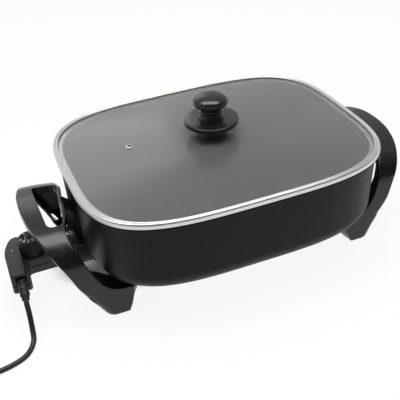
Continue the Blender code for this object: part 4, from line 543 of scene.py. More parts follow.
def coating():
    """Satin non-stick coat: faint speckle and slow clouds in the gloss."""
    look = Look("pan_coating")
    base = (0.0062, 0.0062, 0.0070)
    speckle = look.noise(2600, 2, 0.7)
    cloud = look.noise(14, 4)
    body = look.clouds(cloud, lighter(base, 0.8), lighter(base, 1.25))
    look.colour(look.blend(look.spread(speckle, 0.0, 0.35, 0.62, 0.75), body, (0.03, 0.03, 0.032)))
    look.roughness(look.spread(cloud, 0.36, 0.46), look.spread(look.noise(90, 5), -0.03, 0.05))
    look.bump(look.noise(1500, 3, 0.6), 0.000022)
    look.set(Specular_IOR_Level=0.13)


def clear_glass():
    """Toughened glass with a faint film of smears on it."""
    look = Look("toughened_glass")
    smear = look.noise(34, 5, 0.65, (1.0, 1.7, 1.0))
    look.roughness(look.spread(smear, 0.19, 0.25, 0.38, 0.72),
                   look.spread(look.noise(1900, 2), 0.0, 0.02, 0.6, 0.8))
    look.bump(look.noise(9, 2), 0.00003)
    look.set(Base_Color=(0.92, 0.92, 0.935, 1), IOR=1.40, Transmission_Weight=GLASS_CLEAR)


def cast_metal():
    """Bare base: turned rings in a cast face, dulled in patches."""
    look = Look("bare_cast_metal")
    inputs = {"Scale": 190, "Distortion": 0.6, "Vector": look.coords}
    rings = look.node("TexWave", inputs, wave_type="RINGS", rings_direction="Z").outputs["Fac"]
    cloud = look.noise(16, 5)
    look.colour(look.clouds(cloud, (0.50, 0.50, 0.49), (0.68, 0.68, 0.67)))
    look.roughness(look.spread(rings, 0.30, 0.38, 0, 1), look.spread(cloud, -0.03, 0.08))
    look.bump(look.math("ADD", look.math("MULTIPLY", rings, 0.5), look.noise(700, 3)), 0.00002)
    look.set(Metallic=1.0)


def print_white():
    look = Look("dial_print")
    ink = look.noise(900, 3)
    look.colour(look.clouds(ink, (0.74, 0.74, 0.73), (0.88, 0.88, 0.87)))
    look.roughness(look.spread(ink, 0.45, 0.6))


def lens_look():
    look = Look("lens_amber")
    look.colour(look.clouds(look.noise(400, 2), (0.13, 0.13, 0.14), (0.18, 0.18, 0.19)))
    look.roughness(look.spread(look.noise(300, 2), 0.12, 0.22))
    look.set(Coat_Weight=0.3)


def make_looks():
    coating()
    clear_glass()
    cast_metal()
    print_white()
    lens_look()
    for name, values in METALS.items():
        metal(name, *values)
    for name, values in MOULDINGS.items():
        moulding(name, *values)


# ---------------------------------------------------------------- mesh helpers

def mesh_from(bm, angle=32):
    bmesh.ops.recalc_face_normals(bm, faces=bm.faces)
    mesh = bpy.data.meshes.new("shape")
    bm.to_mesh(mesh)
    bm.free()
    mesh.shade_smooth()
    mesh.set_sharp_from_angle(angle=math.radians(angle))
    return mesh


def join(bm, sections, closed=False):
    """Join rings of points; the ends get caps, or closed joins the last ring to the first."""
    rows = [[bm.verts.new(point) for point in section] for section in sections]
    pairs = list(zip(rows, rows[1:])) + ([(rows[-1], rows[0])] if closed else [])
    for low, high in pairs:
        for i in range(len(low)):
            j = (i + 1) % len(low)
            bm.faces.new((low[i], low[j], high[j], high[i]))
    if not closed:
        bm.faces.new(list(reversed(rows[0])))
        bm.faces.new(rows[-1])


def loft(sections, closed=False, angle=32, flat_faces=False):
    bm = bmesh.new()
    join(bm, sections, closed)
    if flat_faces:
        bmesh.ops.triangulate(bm, faces=bm.faces)
    return mesh_from(bm, angle)


def turns(count):
    return [2 * math.pi * k / count for k in range(count)]


def lathe(profile, place=(0, 0, 0), steps=TURN_STEPS, axis="Z", closed=False, angle=32):
    """Turn (radius, height) pairs about an axis through the place."""
    sections = []
    for radius, height in profile:
        r = max(radius, TIP_RADIUS)
        sections.append([Vector((r * math.cos(a), r * math.sin(a), height)) for a in turns(steps)])
    mesh = loft(sections, closed, angle)
    turn = Matrix.Rotation(-math.pi / 2, 4, "X") if axis == "Y" else Matrix.Identity(4)
    mesh.transform(Matrix.Translation(place) @ turn)
    return mesh


def rod(radius, start, end, sides=48):
    start, end = Vector(start), Vector(end)
    bm = bmesh.new()
    bmesh.ops.create_cone(bm, cap_ends=True, segments=sides, radius1=radius, radius2=radius,
                          depth=(end - start).length)
    turn = (end - start).to_track_quat("Z", "Y").to_matrix().to_4x4()
    place = Matrix.Translation((start + end) / 2)
    bmesh.ops.transform(bm, matrix=place @ turn, verts=bm.verts)
    return mesh_from(bm)


def cut(mesh):
    return "DIFFERENCE", mesh


def hole(radius, start, end, sides=48):
    """The Boolean step for a round hole from start to end."""
    return cut(rod(radius, start, end, sides))


def bore(radius, x, y, low, high, sides=48):
    """The Boolean step for an upright round hole."""
    return hole(radius, (x, y, low), (x, y, high), sides)


def block(low, high):
    low, high = Vector(low), Vector(high)
    bm = bmesh.new()
    bmesh.ops.create_cube(bm, size=1.0)
    bmesh.ops.scale(bm, vec=high - low, verts=bm.verts)
    bmesh.ops.translate(bm, vec=(low + high) / 2, verts=bm.verts)
    return mesh_from(bm)


def level(plan, z):
    return [Vector((x, y, z)) for x, y in plan]


def prism(plan, low, high):
    return loft([level(plan, low), level(plan, high)])


def shaped(mesh, steps, angle=32):
    """The mesh after a run of Boolean steps, each an operation and another mesh."""
    item = placed("raw", mesh)
    made = [item]
    for operation, other in steps:
        made.append(placed("tool", other))
        step = item.modifiers.new("step", "BOOLEAN")
        step.operation, step.object, step.solver = operation, made[-1], "EXACT"
    bpy.context.view_layer.update()
    graph = bpy.context.evaluated_depsgraph_get()
    result = bpy.data.meshes.new_from_object(item.evaluated_get(graph))
    for thing in reversed(made):
        bpy.data.objects.remove(thing, do_unlink=True)
    result.materials.clear()
    result.shade_smooth()
    result.set_sharp_from_angle(angle=math.radians(angle))
    return result


def add(name, mesh, look, body, node=None):
    """Put a mesh into the scene as a piece that rides on a body."""
    mesh.name = name
    mesh.transform(Matrix.Translation((SHIFT, 0, 0)))
    mesh.materials.clear()
    mesh.materials.append(LOOKS[look])
    item = placed(name, mesh)
    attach(item, body)
    if node:
        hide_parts(node)
    return item


def clamped(share):
    return min(max(share, 0.0), 1.0)


def hermite(a, b, start, end, t):
    """A place on the cubic from a to b that leaves along start and arrives along end."""
    h00, h10 = 2 * t ** 3 - 3 * t ** 2 + 1, t ** 3 - 2 * t ** 2 + t
    h01, h11 = -2 * t ** 3 + 3 * t ** 2, t ** 3 - t ** 2
    return a * h00 + start * h10 + b * h01 + end * h11


def smooth_points(points, per):
    """Points through a given profile; a point given with a third value is a corner."""
    made = []
    for i in range(len(points) - 1):
        a, b = Vector(points[i][:2]), Vector(points[i + 1][:2])
        corner_a, corner_b = len(points[i]) > 2, len(points[i + 1]) > 2
        before = Vector(points[i - 1][:2]) if i > 0 and not corner_a else a
        after = Vector(points[i + 2][:2]) if i + 2 < len(points) and not corner_b else b
        start = (b - before) / 2 if before != a else b - a
        end = (after - a) / 2 if after != b else b - a
        if corner_a and corner_b:
            made.append(tuple(a))
        else:
            made += [tuple(hermite(a, b, start, end, k / per)) for k in range(per)]
    return made + [tuple(points[-1][:2])]


def rounded_path(corners, steps):
    """Round each corner of an outline; corners are (x, y, radius)."""
    points = []
    for i, (x, y, radius) in enumerate(corners):
        if radius == 0:
            points.append((x, y))
            continue
        here = Vector((x, y))
        before = (Vector(corners[i - 1][:2]) - here).normalized()
        after = (Vector(corners[(i + 1) % len(corners)][:2]) - here).normalized()
        half = before.angle(after) / 2
        reach = radius / math.tan(half)
        centre = here + (before + after).normalized() * (radius / math.sin(half))
        start, end = here + before * reach - centre, here + after * reach - centre
        for k in range(steps + 1):
            points.append(tuple(centre + start.lerp(end, k / steps).normalized() * radius))
    return points


def even_spots(points, count=0, step=0.0):
    """Even places along the points, each an index and a share of the way to the next point."""
    lengths = [0.0]
    for a, b in zip(points, points[1:]):
        lengths.append(lengths[-1] + (b - a).length)
    count = count or max(2, round(lengths[-1] / step))
    spots, j = [], 0
    for n in range(count):
        goal = lengths[-1] * n / count
        while lengths[j + 1] < goal:
            j += 1
        spots.append((j, (goal - lengths[j]) / (lengths[j + 1] - lengths[j])))
    return spots


def super_point(half_x, half_y, angle):
    c, s = math.cos(angle), math.sin(angle)
    return Vector((half_x * math.copysign(abs(c) ** (2 / OUTLINE_POWER), c),
                   half_y * math.copysign(abs(s) ** (2 / OUTLINE_POWER), s), 0))


def even_angles():
    """Angles that space the outline's points evenly along it."""
    fine = OUTLINE_STEPS
    points = [super_point(PAN_HALF_X, PAN_HALF_Y, 2 * math.pi * i / fine) for i in range(fine + 1)]
    return [2 * math.pi * (j + share) / fine for j, share in even_spots(points, RING)]


ANGLES = even_angles()


def ring(half_x, half_y, z):
    return [super_point(half_x, half_y, a) + Vector((0, 0, z)) for a in ANGLES]


def ring_loft(profile, half_x, half_y, closed=False, angle=32):
    return loft([ring(half_x - i, half_y - i, z) for i, z in profile], closed, angle)


def quarter(u, w, radius, start, end, steps):
    """An arc about (u, w); a radius below zero puts it on the far side."""
    points = []
    for i in range(steps + 1):
        a = math.radians(start + (end - start) * i / steps)
        points.append((u - radius * math.cos(a), w + radius * math.sin(a)))
    return points


# ---------------------------------------------------------------- pan

def pan_wall_share(z):
    top = PAN_TOP_Z - PAN_FLANGE_THICK
    return clamped((top - z) / (top - PAN_BASE_Z - PAN_CORNER_RADIUS))


def pan_wall_half_x(z):
    under = max(PAN_BASE_Z + PAN_CORNER_RADIUS - z, 0.0)
    rounding = PAN_CORNER_RADIUS - math.sqrt(PAN_CORNER_RADIUS ** 2 - under ** 2)
    return PAN_HALF_X - PAN_WALL_INSET - PAN_TAPER_X * pan_wall_share(z) - rounding


def make_pan():
    wall_top = PAN_TOP_Z - PAN_FLANGE_THICK
    corner = PAN_WALL_INSET + PAN_TAPER_Y + PAN_CORNER_RADIUS
    floor_inset = corner - PAN_CORNER_RADIUS + PAN_WALL + PAN_INNER_RADIUS
    inner = PAN_WALL_INSET + PAN_WALL
    edge, fillet = PAN_EDGE, FLANGE_FILLET
    rim = PAN_FLANGE_HIDE + edge
    profile = quarter(corner, PAN_BASE_Z + PAN_CORNER_RADIUS, PAN_CORNER_RADIUS, -90, -5, 20)
    profile += [(PAN_WALL_INSET + 0.0010, wall_top - 0.0070), (PAN_WALL_INSET, wall_top - fillet)]
    profile += quarter(PAN_WALL_INSET - fillet, wall_top - fillet, -fillet, 0, -90, 4)
    profile += quarter(rim, wall_top + edge, edge, -90, 0, 4)
    profile += quarter(rim, PAN_TOP_Z - edge, edge, 0, 90, 4)
    profile += [(inner - edge, PAN_TOP_Z)]
    profile += quarter(inner - edge, PAN_TOP_Z - edge, edge, 90, 180, 4)[1:]
    profile += quarter(floor_inset, PAN_FLOOR_Z + PAN_INNER_RADIUS, PAN_INNER_RADIUS, -5, -90, 16)
    less = PAN_TAPER_Y - PAN_TAPER_X
    sections = [ring(PAN_HALF_X - i + less * pan_wall_share(z), PAN_HALF_Y - i, z)
                for i, z in profile]
    low, high = PAN_BASE_Z - CUT, PAN_FLOOR_Z - PAN_WEB
    recess = ring_loft(((-GAP, low), (-GAP, high)), PAD_HALF_X, PAD_HALF_Y)
    notch_half = TERMINAL_SPREAD + BEAD_RADIUS + PAN_WEB
    notch = block((-PAN_HALF_X, -notch_half, low), (-PAD_HALF_X + PAN_WEB, notch_half, high))
    mesh = shaped(loft(sections), [cut(recess), cut(notch)])
    add("pan_shell", mesh, "pan_coating", "base", "pan")


# ---------------------------------------------------------------- lid

def lid_ring(inset, z):
    return ring(LID_HALF_X - inset, LID_HALF_Y - inset, z)


def glass_height(low, share):
    """Top of the glass, a gentle dome inside the rim."""
    return low + GLASS_THICK + GLASS_RISE * (1 - share ** 2) / (1 - GLASS_SHARES[-1] ** 2)


def make_rim(base, lower):
    top = base + RIM_HEIGHT
    skirt = PAN_WALL_INSET + PAN_WALL + RIM_METAL
    outer = [(0.0010, base, 1), (0.0003, base + 0.0006), (0.0, base + 0.0018),
             (0.0, base + 0.0044), (0.0003, base + 0.0059), (0.0010, base + 0.0071),
             (0.0021, top), (0.0031, top - 0.0003), (0.0038, top - 0.0012, 1),
             (0.0045, top - 0.0004), (0.0053, top - 0.0001), (RIM_LIP - 0.0004, top - 0.0004),
             (RIM_LIP, top - 0.0010, 1)]
    under_lip = top - RIM_METAL * 1.5
    inner = [(RIM_LIP, under_lip), (RIM_BEAD + RIM_METAL, under_lip),
             (RIM_BEAD + RIM_METAL, lower), (skirt + RIM_METAL, lower),
             (skirt + RIM_METAL, base - RIM_SKIRT), (skirt, base - RIM_SKIRT), (skirt, base)]
    mesh = ring_loft(smooth_points(outer, 5) + inner, LID_HALF_X, LID_HALF_Y, True, 40)
    add("rim_band", mesh, "rim_steel", "lid", "lid_rim")


def make_lid():
    base = PAN_TOP_Z + GAP
    lower = base + RIM_METAL
    make_rim(base, lower)
    edge = RIM_BEAD + RIM_METAL + GAP
    low = lower + GAP
    full_x, full_y = LID_HALF_X - RIM_LIP - GAP, LID_HALF_Y - RIM_LIP - GAP
    upper = [lid_ring(edge, low + GLASS_THICK * 0.7), lid_ring(edge + 0.0008, low + GLASS_THICK)]
    under = [lid_ring(edge, low)]
    for share in GLASS_SHARES:
        height = glass_height(low, share)
        upper.append(ring(full_x * share, full_y * share, height))
        under.append(ring(full_x * share, full_y * share, height - GLASS_THICK))
    mesh = loft(list(reversed(upper)) + under, angle=50)
    top = glass_height(low, GLASS_SHARES[-1])
    reach = ((abs(VENT_X) / full_x) ** OUTLINE_POWER
             + (abs(VENT_Y) / full_y) ** OUTLINE_POWER) ** (1 / OUTLINE_POWER)
    holes = [bore(KNOB_BORE + GAP, 0, 0, top - CUT * 2, top + CUT),
             bore(VENT_RADIUS - VENT_LIP, VENT_X, VENT_Y, top - CUT * 2, top + CUT)]
    mesh = shaped(mesh, holes, 50)
    add("glass_dome", mesh, "toughened_glass", "lid", "lid_glass")
    make_vent(glass_height(low, reach))
    make_knob(top)


def make_vent(top):
    r, lip = VENT_RADIUS, VENT_LIP
    neck = r - lip - GAP
    low, under = top + GAP * 2, top - GLASS_THICK - GAP * 2
    profile = [(VENT_BORE, low + lip * 0.3), (VENT_BORE + 0.0003, low + lip),
               (r - 0.0008, low + lip), (r - 0.0002, low + lip * 0.7), (r, low + lip * 0.3),
               (r, low), (neck, low), (neck, under), (r, under), (r, under - lip),
               (VENT_BORE, under - lip)]
    mesh = lathe(profile, (VENT_X, VENT_Y, 0), 48, "Z", True, 40)
    add("vent_ring", mesh, "plain_steel", "lid", "vent_grommet")


def make_knob(glass_top):
    """Spacer cup, splash disc and turned knob, stacked on the glass."""
    low, r, h = glass_top + GAP, SPACER_RADIUS, SPACER_HEIGHT
    high = low + h
    spacer = [(KNOB_BORE, high, 1), (r * 0.86, high, 1), (r * 0.915, high - 0.0005),
              (r * 0.92, high - 0.0016), (r * 0.925, low + h * 0.36), (r * 0.955, low + h * 0.2),
              (r * 0.995, low + h * 0.1), (r, low + 0.0006), (r - 0.0005, low, 1),
              (KNOB_BORE, low, 1)]
    mesh = lathe(smooth_points(spacer, 5), closed=True)
    add("spacer_cup", mesh, "phenolic", "lid", "knob_spacer")
    low, r, drop = high + GAP, DISC_RADIUS, DISC_DROP
    high = low + DISC_THICK
    disc = [(KNOB_BORE, high, 1), (r * 0.50, high, 1), (r * 0.80, high - 0.0006),
            (r * 0.955, high - 0.0013), (r * 0.985, high - 0.0017), (r, high - 0.0027),
            (r, low - drop * 0.30), (r * 0.994, low - drop * 0.52),
            (r * 0.975, low - drop * 0.62, 1), (r * 0.955, low - drop * 0.55),
            (r * 0.90, low - drop * 0.2), (r * 0.74, low, 1), (KNOB_BORE, low, 1)]
    mesh = lathe(smooth_points(disc, 6), closed=True)
    add("splash_disc", mesh, "phenolic", "lid", "knob_disc")
    foot = high + GAP
    neck = foot + STEM_HEIGHT
    top = neck + CAP_HEIGHT
    c, d, w, h = CAP_RADIUS, CAP_HEIGHT, STEM_RADIUS, STEM_HEIGHT
    knob = [(0, top, 1), (c * 0.22, top - d * 0.006), (c * 0.45, top - d * 0.045),
            (c * 0.68, top - d * 0.135), (c * 0.86, top - d * 0.285), (c * 0.965, top - d * 0.46),
            (c, top - d * 0.62), (c * 0.975, top - d * 0.79), (c * 0.88, top - d * 0.93),
            (c * 0.76, top - d * 0.99), (w * 1.04, neck - d * 0.06), (w, neck - h * 0.16),
            (w * 0.985, neck - h * 0.40), (w * 1.08, neck - h * 0.50), (w * 1.10, neck - h * 0.56),
            (w * 1.03, neck - h * 0.62), (w * 1.06, neck - h * 0.72), (w * 1.14, neck - h * 0.84),
            (STEM_FOOT_RADIUS, foot + h * 0.06), (STEM_FOOT_RADIUS, foot, 1), (0, foot, 1)]
    mesh = shaped(lathe(smooth_points(knob, 6)), [bore(KNOB_BORE, 0, 0, foot - CUT, neck)], 40)
    add("knob_cap", mesh, "phenolic", "lid", "lid_knob")


# ---------------------------------------------------------------- handles

def eased(share):
    return 3 * share ** 2 - 2 * share ** 3


def far_flare(y):
    rise = clamped(y / FLARE_PEAK_SHARE)
    fall = clamped((1 - y) / (1 - FLARE_PEAK_SHARE))
    crown = SHOULDER_FLARE / HANDLE_REACH * eased(rise) * eased(fall)
    leg_high, leg_low = FAR_LEG_SHARES
    leg_end = clamped((leg_low - y) / (leg_low - leg_high))
    return max(crown, FAR_LEG_FLARE / HANDLE_REACH * eased(rise) * eased(leg_end))


def arch_rows():
    """The listed stations, each with its inward direction."""
    rows = [(-y, z, out, inner, leg) for y, z, out, inner, leg in ARCH_SHARES]
    rows += [(y, z, out, inner - far_flare(y), leg)
             for y, z, out, inner, leg in reversed(ARCH_SHARES[:-1])]
    made = []
    for i, row in enumerate(rows):
        a, b = rows[max(i - 1, 0)], rows[min(i + 1, len(rows) - 1)]
        run = Vector(((b[0] - a[0]) * HANDLE_HALF_SPAN, (b[1] - a[1]) * HANDLE_TOP_Z))
        inward = Vector((run.y, -run.x)).normalized()
        if abs(row[0]) > ARCH_SHARES[FIRST_UPRIGHT_STATION][0]:
            inward = Vector((-math.copysign(1.0, row[0]), 0))
        made.append((*row, inward.x, inward.y))
    return made


def fine_rows(per=5):
    """The stations with more between them; the feet's inner edge keeps its kinks."""
    rows = arch_rows()
    last = len(rows) - 1
    made = []
    for i in range(last):
        from_end = min(i, last - 1 - i)
        sharp = from_end < SHARP_STATIONS
        count = 2 if from_end < 1 else (4 if sharp else per)
        for k in range(count):
            row = []
            for n in range(len(rows[i])):
                a, b = rows[i][n], rows[i + 1][n]
                straight = sharp and n == 3
                start = (b - rows[i - 1][n]) / 2 if i > 0 and not straight else b - a
                end = (rows[i + 2][n] - a) / 2 if i + 2 <= last and not straight else b - a
                row.append(hermite(a, b, start, end, k / count))
            row[1] = max(row[1], 0.0)
            row[4] = clamped(row[4])
            made.append(tuple(row))
    return made + [rows[-1]]


def foot_share(leg):
    return max(0.0, leg * 2 - 1)


def band_section(out_x, in_x, lean, depth, leg, shrink):
    edge = HANDLE_EDGE + (FOOT_EDGE - HANDLE_EDGE) * foot_share(leg) ** 2
    out_x, in_x, low = out_x - shrink, in_x + shrink, depth - shrink
    inner = quarter(in_x + INNER_EDGE, shrink + INNER_EDGE, -INNER_EDGE, 180, 90, 4)[::-1]
    outer = quarter(out_x - edge, shrink + edge, -edge, 90, 0, 7)[::-1]
    (x0, y0), (x1, y1) = outer[-1], inner[0]
    across = [(x0 + (x1 - x0) * k / 8, y0 + (y1 - y0) * k / 8) for k in range(1, 8)]
    side = [(out_x, low + (outer[0][1] - low) * k / 3) for k in range(3)]
    corner = Vector((in_x - lean, low))
    reach = GAP + TOE_ROUND * foot_share(leg) ** 2
    a = corner + (Vector(inner[-1]) - corner).normalized() * reach
    b = corner + Vector((reach, 0))
    toe = [tuple(a * (1 - t) ** 2 + corner * 2 * t * (1 - t) + b * t ** 2)
           for t in (0, 0.25, 0.5, 0.75, 1)]
    return side + outer + across + inner + toe


def placed_section(side, row, section, z_floor=0.0):
    y, z = row[0], max(row[1], z_floor)
    skin = Vector((0, HANDLE_CENTRE_Y + y * HANDLE_HALF_SPAN, z * HANDLE_TOP_Z))
    inward = Vector((row[5], row[6])).normalized()
    high, low = max(u for u, w in section), min(u for u, w in section)
    dip = far_flare(y) * HANDLE_REACH * SHOULDER_DIP_SHARE
    points = []
    for u, w in section:
        fall = dip * ((high - u) / (high - low)) ** 2
        points.append(Vector((side * u, skin.y + inward.x * w, skin.z + inward.y * w - fall)))
    return points


def handle_depth(leg):
    return HANDLE_DEPTH + (LEG_DEPTH - HANDLE_DEPTH) * leg


def toe_lean(leg, z):
    rise = TOE_SOLE_SHARE + (1 - TOE_SOLE_SHARE) * min(z / TOE_TOP_SHARE, 1)
    return TOE_LEAN * rise * foot_share(leg)


def handle_mesh(side):
    rows = fine_rows()
    lift = SOLE_EDGE / HANDLE_TOP_Z
    sections = []
    for i, row in enumerate(rows):
        z, out, inner, leg = row[1:5]
        form = (out * HANDLE_REACH, inner * HANDLE_REACH, toe_lean(leg, z), handle_depth(leg), leg)
        ends = []
        if i in (0, len(rows) - 1):
            for share in (1.0, 0.62, 0.2):
                height = lift * (1 - (1 - (1 - share) ** 2) ** 0.5) if share < 1 else 0.0
                sole = band_section(*form, SOLE_EDGE * share)
                ends.append(placed_section(side, (row[0], height, *row[2:]), sole))
        here = placed_section(side, row, band_section(*form, 0), lift)
        sections += ends + [here] if i == 0 else [here] + ends[::-1]
    return loft(sections, angle=40, flat_faces=True)


def handle_core(side):
    """What hollows the moulding out from below."""
    first = HANDLE_TOP_Z * ARCH_SHARES[FIRST_HOLLOW_STATION][1]
    skin = HANDLE_SKIN
    sections = []
    for row in fine_rows(3):
        y, z, out, inner, leg = row[:5]
        if z * HANDLE_TOP_Z < first - 0.00001:
            continue
        out_x, in_x = out * HANDLE_REACH - skin, inner * HANDLE_REACH + skin
        if abs(y) * HANDLE_HALF_SPAN < SLOT_HALF_Y + skin * 2:
            in_x = max(in_x, SLOT_OUT_X + skin)
        depth = handle_depth(leg) + CUT
        section = ((out_x, skin), (in_x, skin), (in_x - toe_lean(leg, z), depth), (out_x, depth))
        sections.append(placed_section(side, row, section))
    return loft(sections, flat_faces=True)


def skin_height(rows, x, y):
    """Height of the crown's skin over a place on the plan."""
    share = (y - HANDLE_CENTRE_Y) / HANDLE_HALF_SPAN
    for a, b in zip(rows, rows[1:]):
        if a[0] <= share <= b[0]:
            t = (share - a[0]) / (b[0] - a[0])
            z = (a[1] + (b[1] - a[1]) * t) * HANDLE_TOP_Z
            out = (a[2] + (b[2] - a[2]) * t) * HANDLE_REACH
            inner = (a[3] + (b[3] - a[3]) * t) * HANDLE_REACH
            dip = far_flare(share) * HANDLE_REACH * SHOULDER_DIP_SHARE
            return z - dip * ((out - abs(x)) / (out - inner)) ** 2
    return HANDLE_TOP_Z


def offset_plan(plan, distance):
    count = len(plan)
    area = sum(plan[i - 1][0] * plan[i][1] - plan[i][0] * plan[i - 1][1] for i in range(count))
    way = math.copysign(1.0, area)
    made = []
    for i in range(count):
        a, b, c = Vector(plan[i - 1]), Vector(plan[i]), Vector(plan[(i + 1) % count])
        along = ((b - a).normalized() + (c - b).normalized()).normalized()
        made.append((b.x + along.y * way * distance, b.y - along.x * way * distance))
    return made


def slot_cutter(side):
    """The finger slot with a rounded lip that follows the skin."""
    whole = fine_rows()
    inner = [(r[3] * HANDLE_REACH + RAIL_WIDTH, r[0] * HANDLE_HALF_SPAN) for r in whole]
    inner = [(x, y) for x, y in inner if abs(y) < SLOT_HALF_Y - SLOT_RADIUS]
    corners = [(inner[0][0], -SLOT_HALF_Y, SLOT_RADIUS)] + [(x, y, 0) for x, y in inner]
    corners += [(inner[-1][0], SLOT_HALF_Y, SLOT_RADIUS), (SLOT_OUT_X, SLOT_HALF_Y, SLOT_RADIUS),
                (SLOT_OUT_X, -SLOT_HALF_Y, SLOT_RADIUS)]
    plan = [(side * x, HANDLE_CENTRE_Y + y) for x, y in rounded_path(corners, 8)]
    levels = [(SLOT_LIP * 1.05, CUT), (SLOT_LIP * 1.02, 0.0004)]
    for k in range(6):
        a = math.pi / 2 * k / 5
        levels.append((SLOT_LIP * (1 - math.sin(a)), -SLOT_LIP * (1 - math.cos(a))))
    sections = []
    for distance, rise in levels:
        sections.append([Vector((x, y, skin_height(whole, x, y) + rise))
                         for x, y in offset_plan(plan, distance)])
    sections.append(level(plan, HANDLE_TOP_Z - HANDLE_DEPTH - CUT - CUT))
    return loft(sections, flat_faces=True)


def make_handle(end, side):
    name = "handle_" + end
    radius, head, z = HANDLE_SCREW_RADIUS, HANDLE_SCREW_HEAD, BOSS_SCREW_Z
    corners = [(BOSS_OUT_X, BOSS_TOP_Z, 0.002),
               (pan_wall_half_x(BOSS_ROOT_TOP_Z) + GAP, BOSS_ROOT_TOP_Z, 0.002),
               (pan_wall_half_x(BOSS_ROOT_LOW_Z) + GAP, BOSS_ROOT_LOW_Z, 0.003),
               (BOSS_OUT_X, BOSS_LOW_Z, 0.003)]
    plan = [(side * x, h) for x, h in rounded_path(corners, 4)]
    reach_y = (HANDLE_CENTRE_Y - BOSS_HALF_Y, HANDLE_CENTRE_Y + BOSS_HALF_Y)
    boss = loft([[Vector((x, y, h)) for x, h in plan] for y in reach_y])
    steps = [cut(handle_core(side)), cut(slot_cutter(side)), ("UNION", boss)]
    for sy in (-1, 1):
        x, y = side * TOE_POST_X, HANDLE_CENTRE_Y + sy * TOE_POST_REACH_Y
        post = rod(TOE_POST_RADIUS, (x, y, TOE_POST_LOW_Z), (x, y, PAN_BASE_Z - GAP), 32)
        steps += [("UNION", post), bore(radius + GAP, x, y, -CUT, PAN_BASE_Z + CUT, 24),
                  bore(head + GAP, x, y, -CUT, TOE_SCREW_SEAT_Z, 32)]
    steps.append(hole(radius + GAP, (side * (BOSS_OUT_X + CUT), HANDLE_CENTRE_Y, z),
                      (side * (pan_wall_half_x(z) - CUT), HANDLE_CENTRE_Y, z), 24))
    mesh = shaped(handle_mesh(side), steps, 36)
    add(name + "_moulding", mesh, "handle_moulding", "base", name)
    length = BOSS_OUT_X - pan_wall_half_x(z) - GAP * 2
    profile = [(0.0, 0.0), (radius * 0.8, 0.0), (radius, 0.0005), (radius, length),
               (head, length), (head, length + 0.0008), (head * 0.8, length + 0.0018),
               (head * 0.4, length + 0.0022), (head * 0.35, length + 0.0014),
               (0.0, length + 0.0014)]
    screw = lathe(profile, (0, 0, 0), 32)
    place = Matrix.Translation((side * (BOSS_OUT_X + GAP - length), HANDLE_CENTRE_Y, z))
    screw.transform(place @ Matrix.Rotation(side * math.pi / 2, 4, "Y"))
    add("boss_screw_%s_steel" % end, screw, "plain_steel", "base", "boss_screw_" + end)


# ---------------------------------------------------------------- heat control

def arm_corners(inset=0.0):
    nose = ARM_NOSE_X + inset
    return [(-nose, -ARM_HALF_Y + inset, SHELL_EDGE), (-nose, ARM_HALF_Y - inset, SHELL_EDGE)]


def grip_corners(inset=0.0, setback=0.0):
    far, near = GRIP_FAR_Y - inset, GRIP_NEAR_Y + inset + setback
    inner, outer = GRIP_IN_X + inset, GRIP_OUT_X - inset
    tail = GRIP_TAIL_X - inset
    big = ARM_ROUND - inset
    return [(-inner + GRIP_LEAN, far, big),
            (-tail + GRIP_SHOULDER / 2, far, GRIP_FAR_RADIUS - inset),
            (-tail, far - GRIP_SHOULDER, GRIP_SIDE_RADIUS - inset), (-outer, near, big),
            (-inner - GRIP_LEAN, near, big)]


def control_outline(inset=0.0):
    arm = arm_corners(inset)
    inner_far = (-GRIP_IN_X - inset + GRIP_LEAN / 2, ARM_HALF_Y - inset, 0)
    guard_x = -GUARD_IN_X - inset
    guard = [(guard_x, GRIP_NEAR_Y + inset, ARM_ROUND - inset),
             (guard_x, -ARM_HALF_Y + inset, GUARD_ROUND + inset)]
    return rounded_path([arm[1], inner_far] + grip_corners(inset)[:-1] + guard + [arm[0]], 8)


def grip_outline(inset=0.0):
    return rounded_path(grip_corners(inset), 8)


def hollow_outline():
    wall = SHELL_WALL
    arm_y = ARM_HALF_Y - wall
    back = -(ARM_NOSE_X + NOSE_SOLID)
    inner_far = (-GRIP_IN_X - wall + GRIP_LEAN / 2, arm_y, 0)
    inner_near = (-GRIP_IN_X - wall - GRIP_LEAN / 2, -arm_y, 0)
    corners = [(back, arm_y, SHELL_EDGE), inner_far] + grip_corners(wall, EXIT_DEPTH)
    return rounded_path(corners + [inner_near, (back, -arm_y, SHELL_EDGE)], 4)


def plan_loft(plan, levels):
    return loft([level(plan(inset), z) for inset, z in levels])


def edge_levels(z, way, steps=5):
    """Levels that round an edge off; way is 1 at a top edge and -1 at a bottom one."""
    levels = []
    for k in range(steps + 1):
        a = math.pi / 2 * k / steps
        levels.append((SHELL_EDGE * (1 - math.cos(a)), z - way * SHELL_EDGE * (1 - math.sin(a))))
    return levels if way > 0 else levels[::-1]


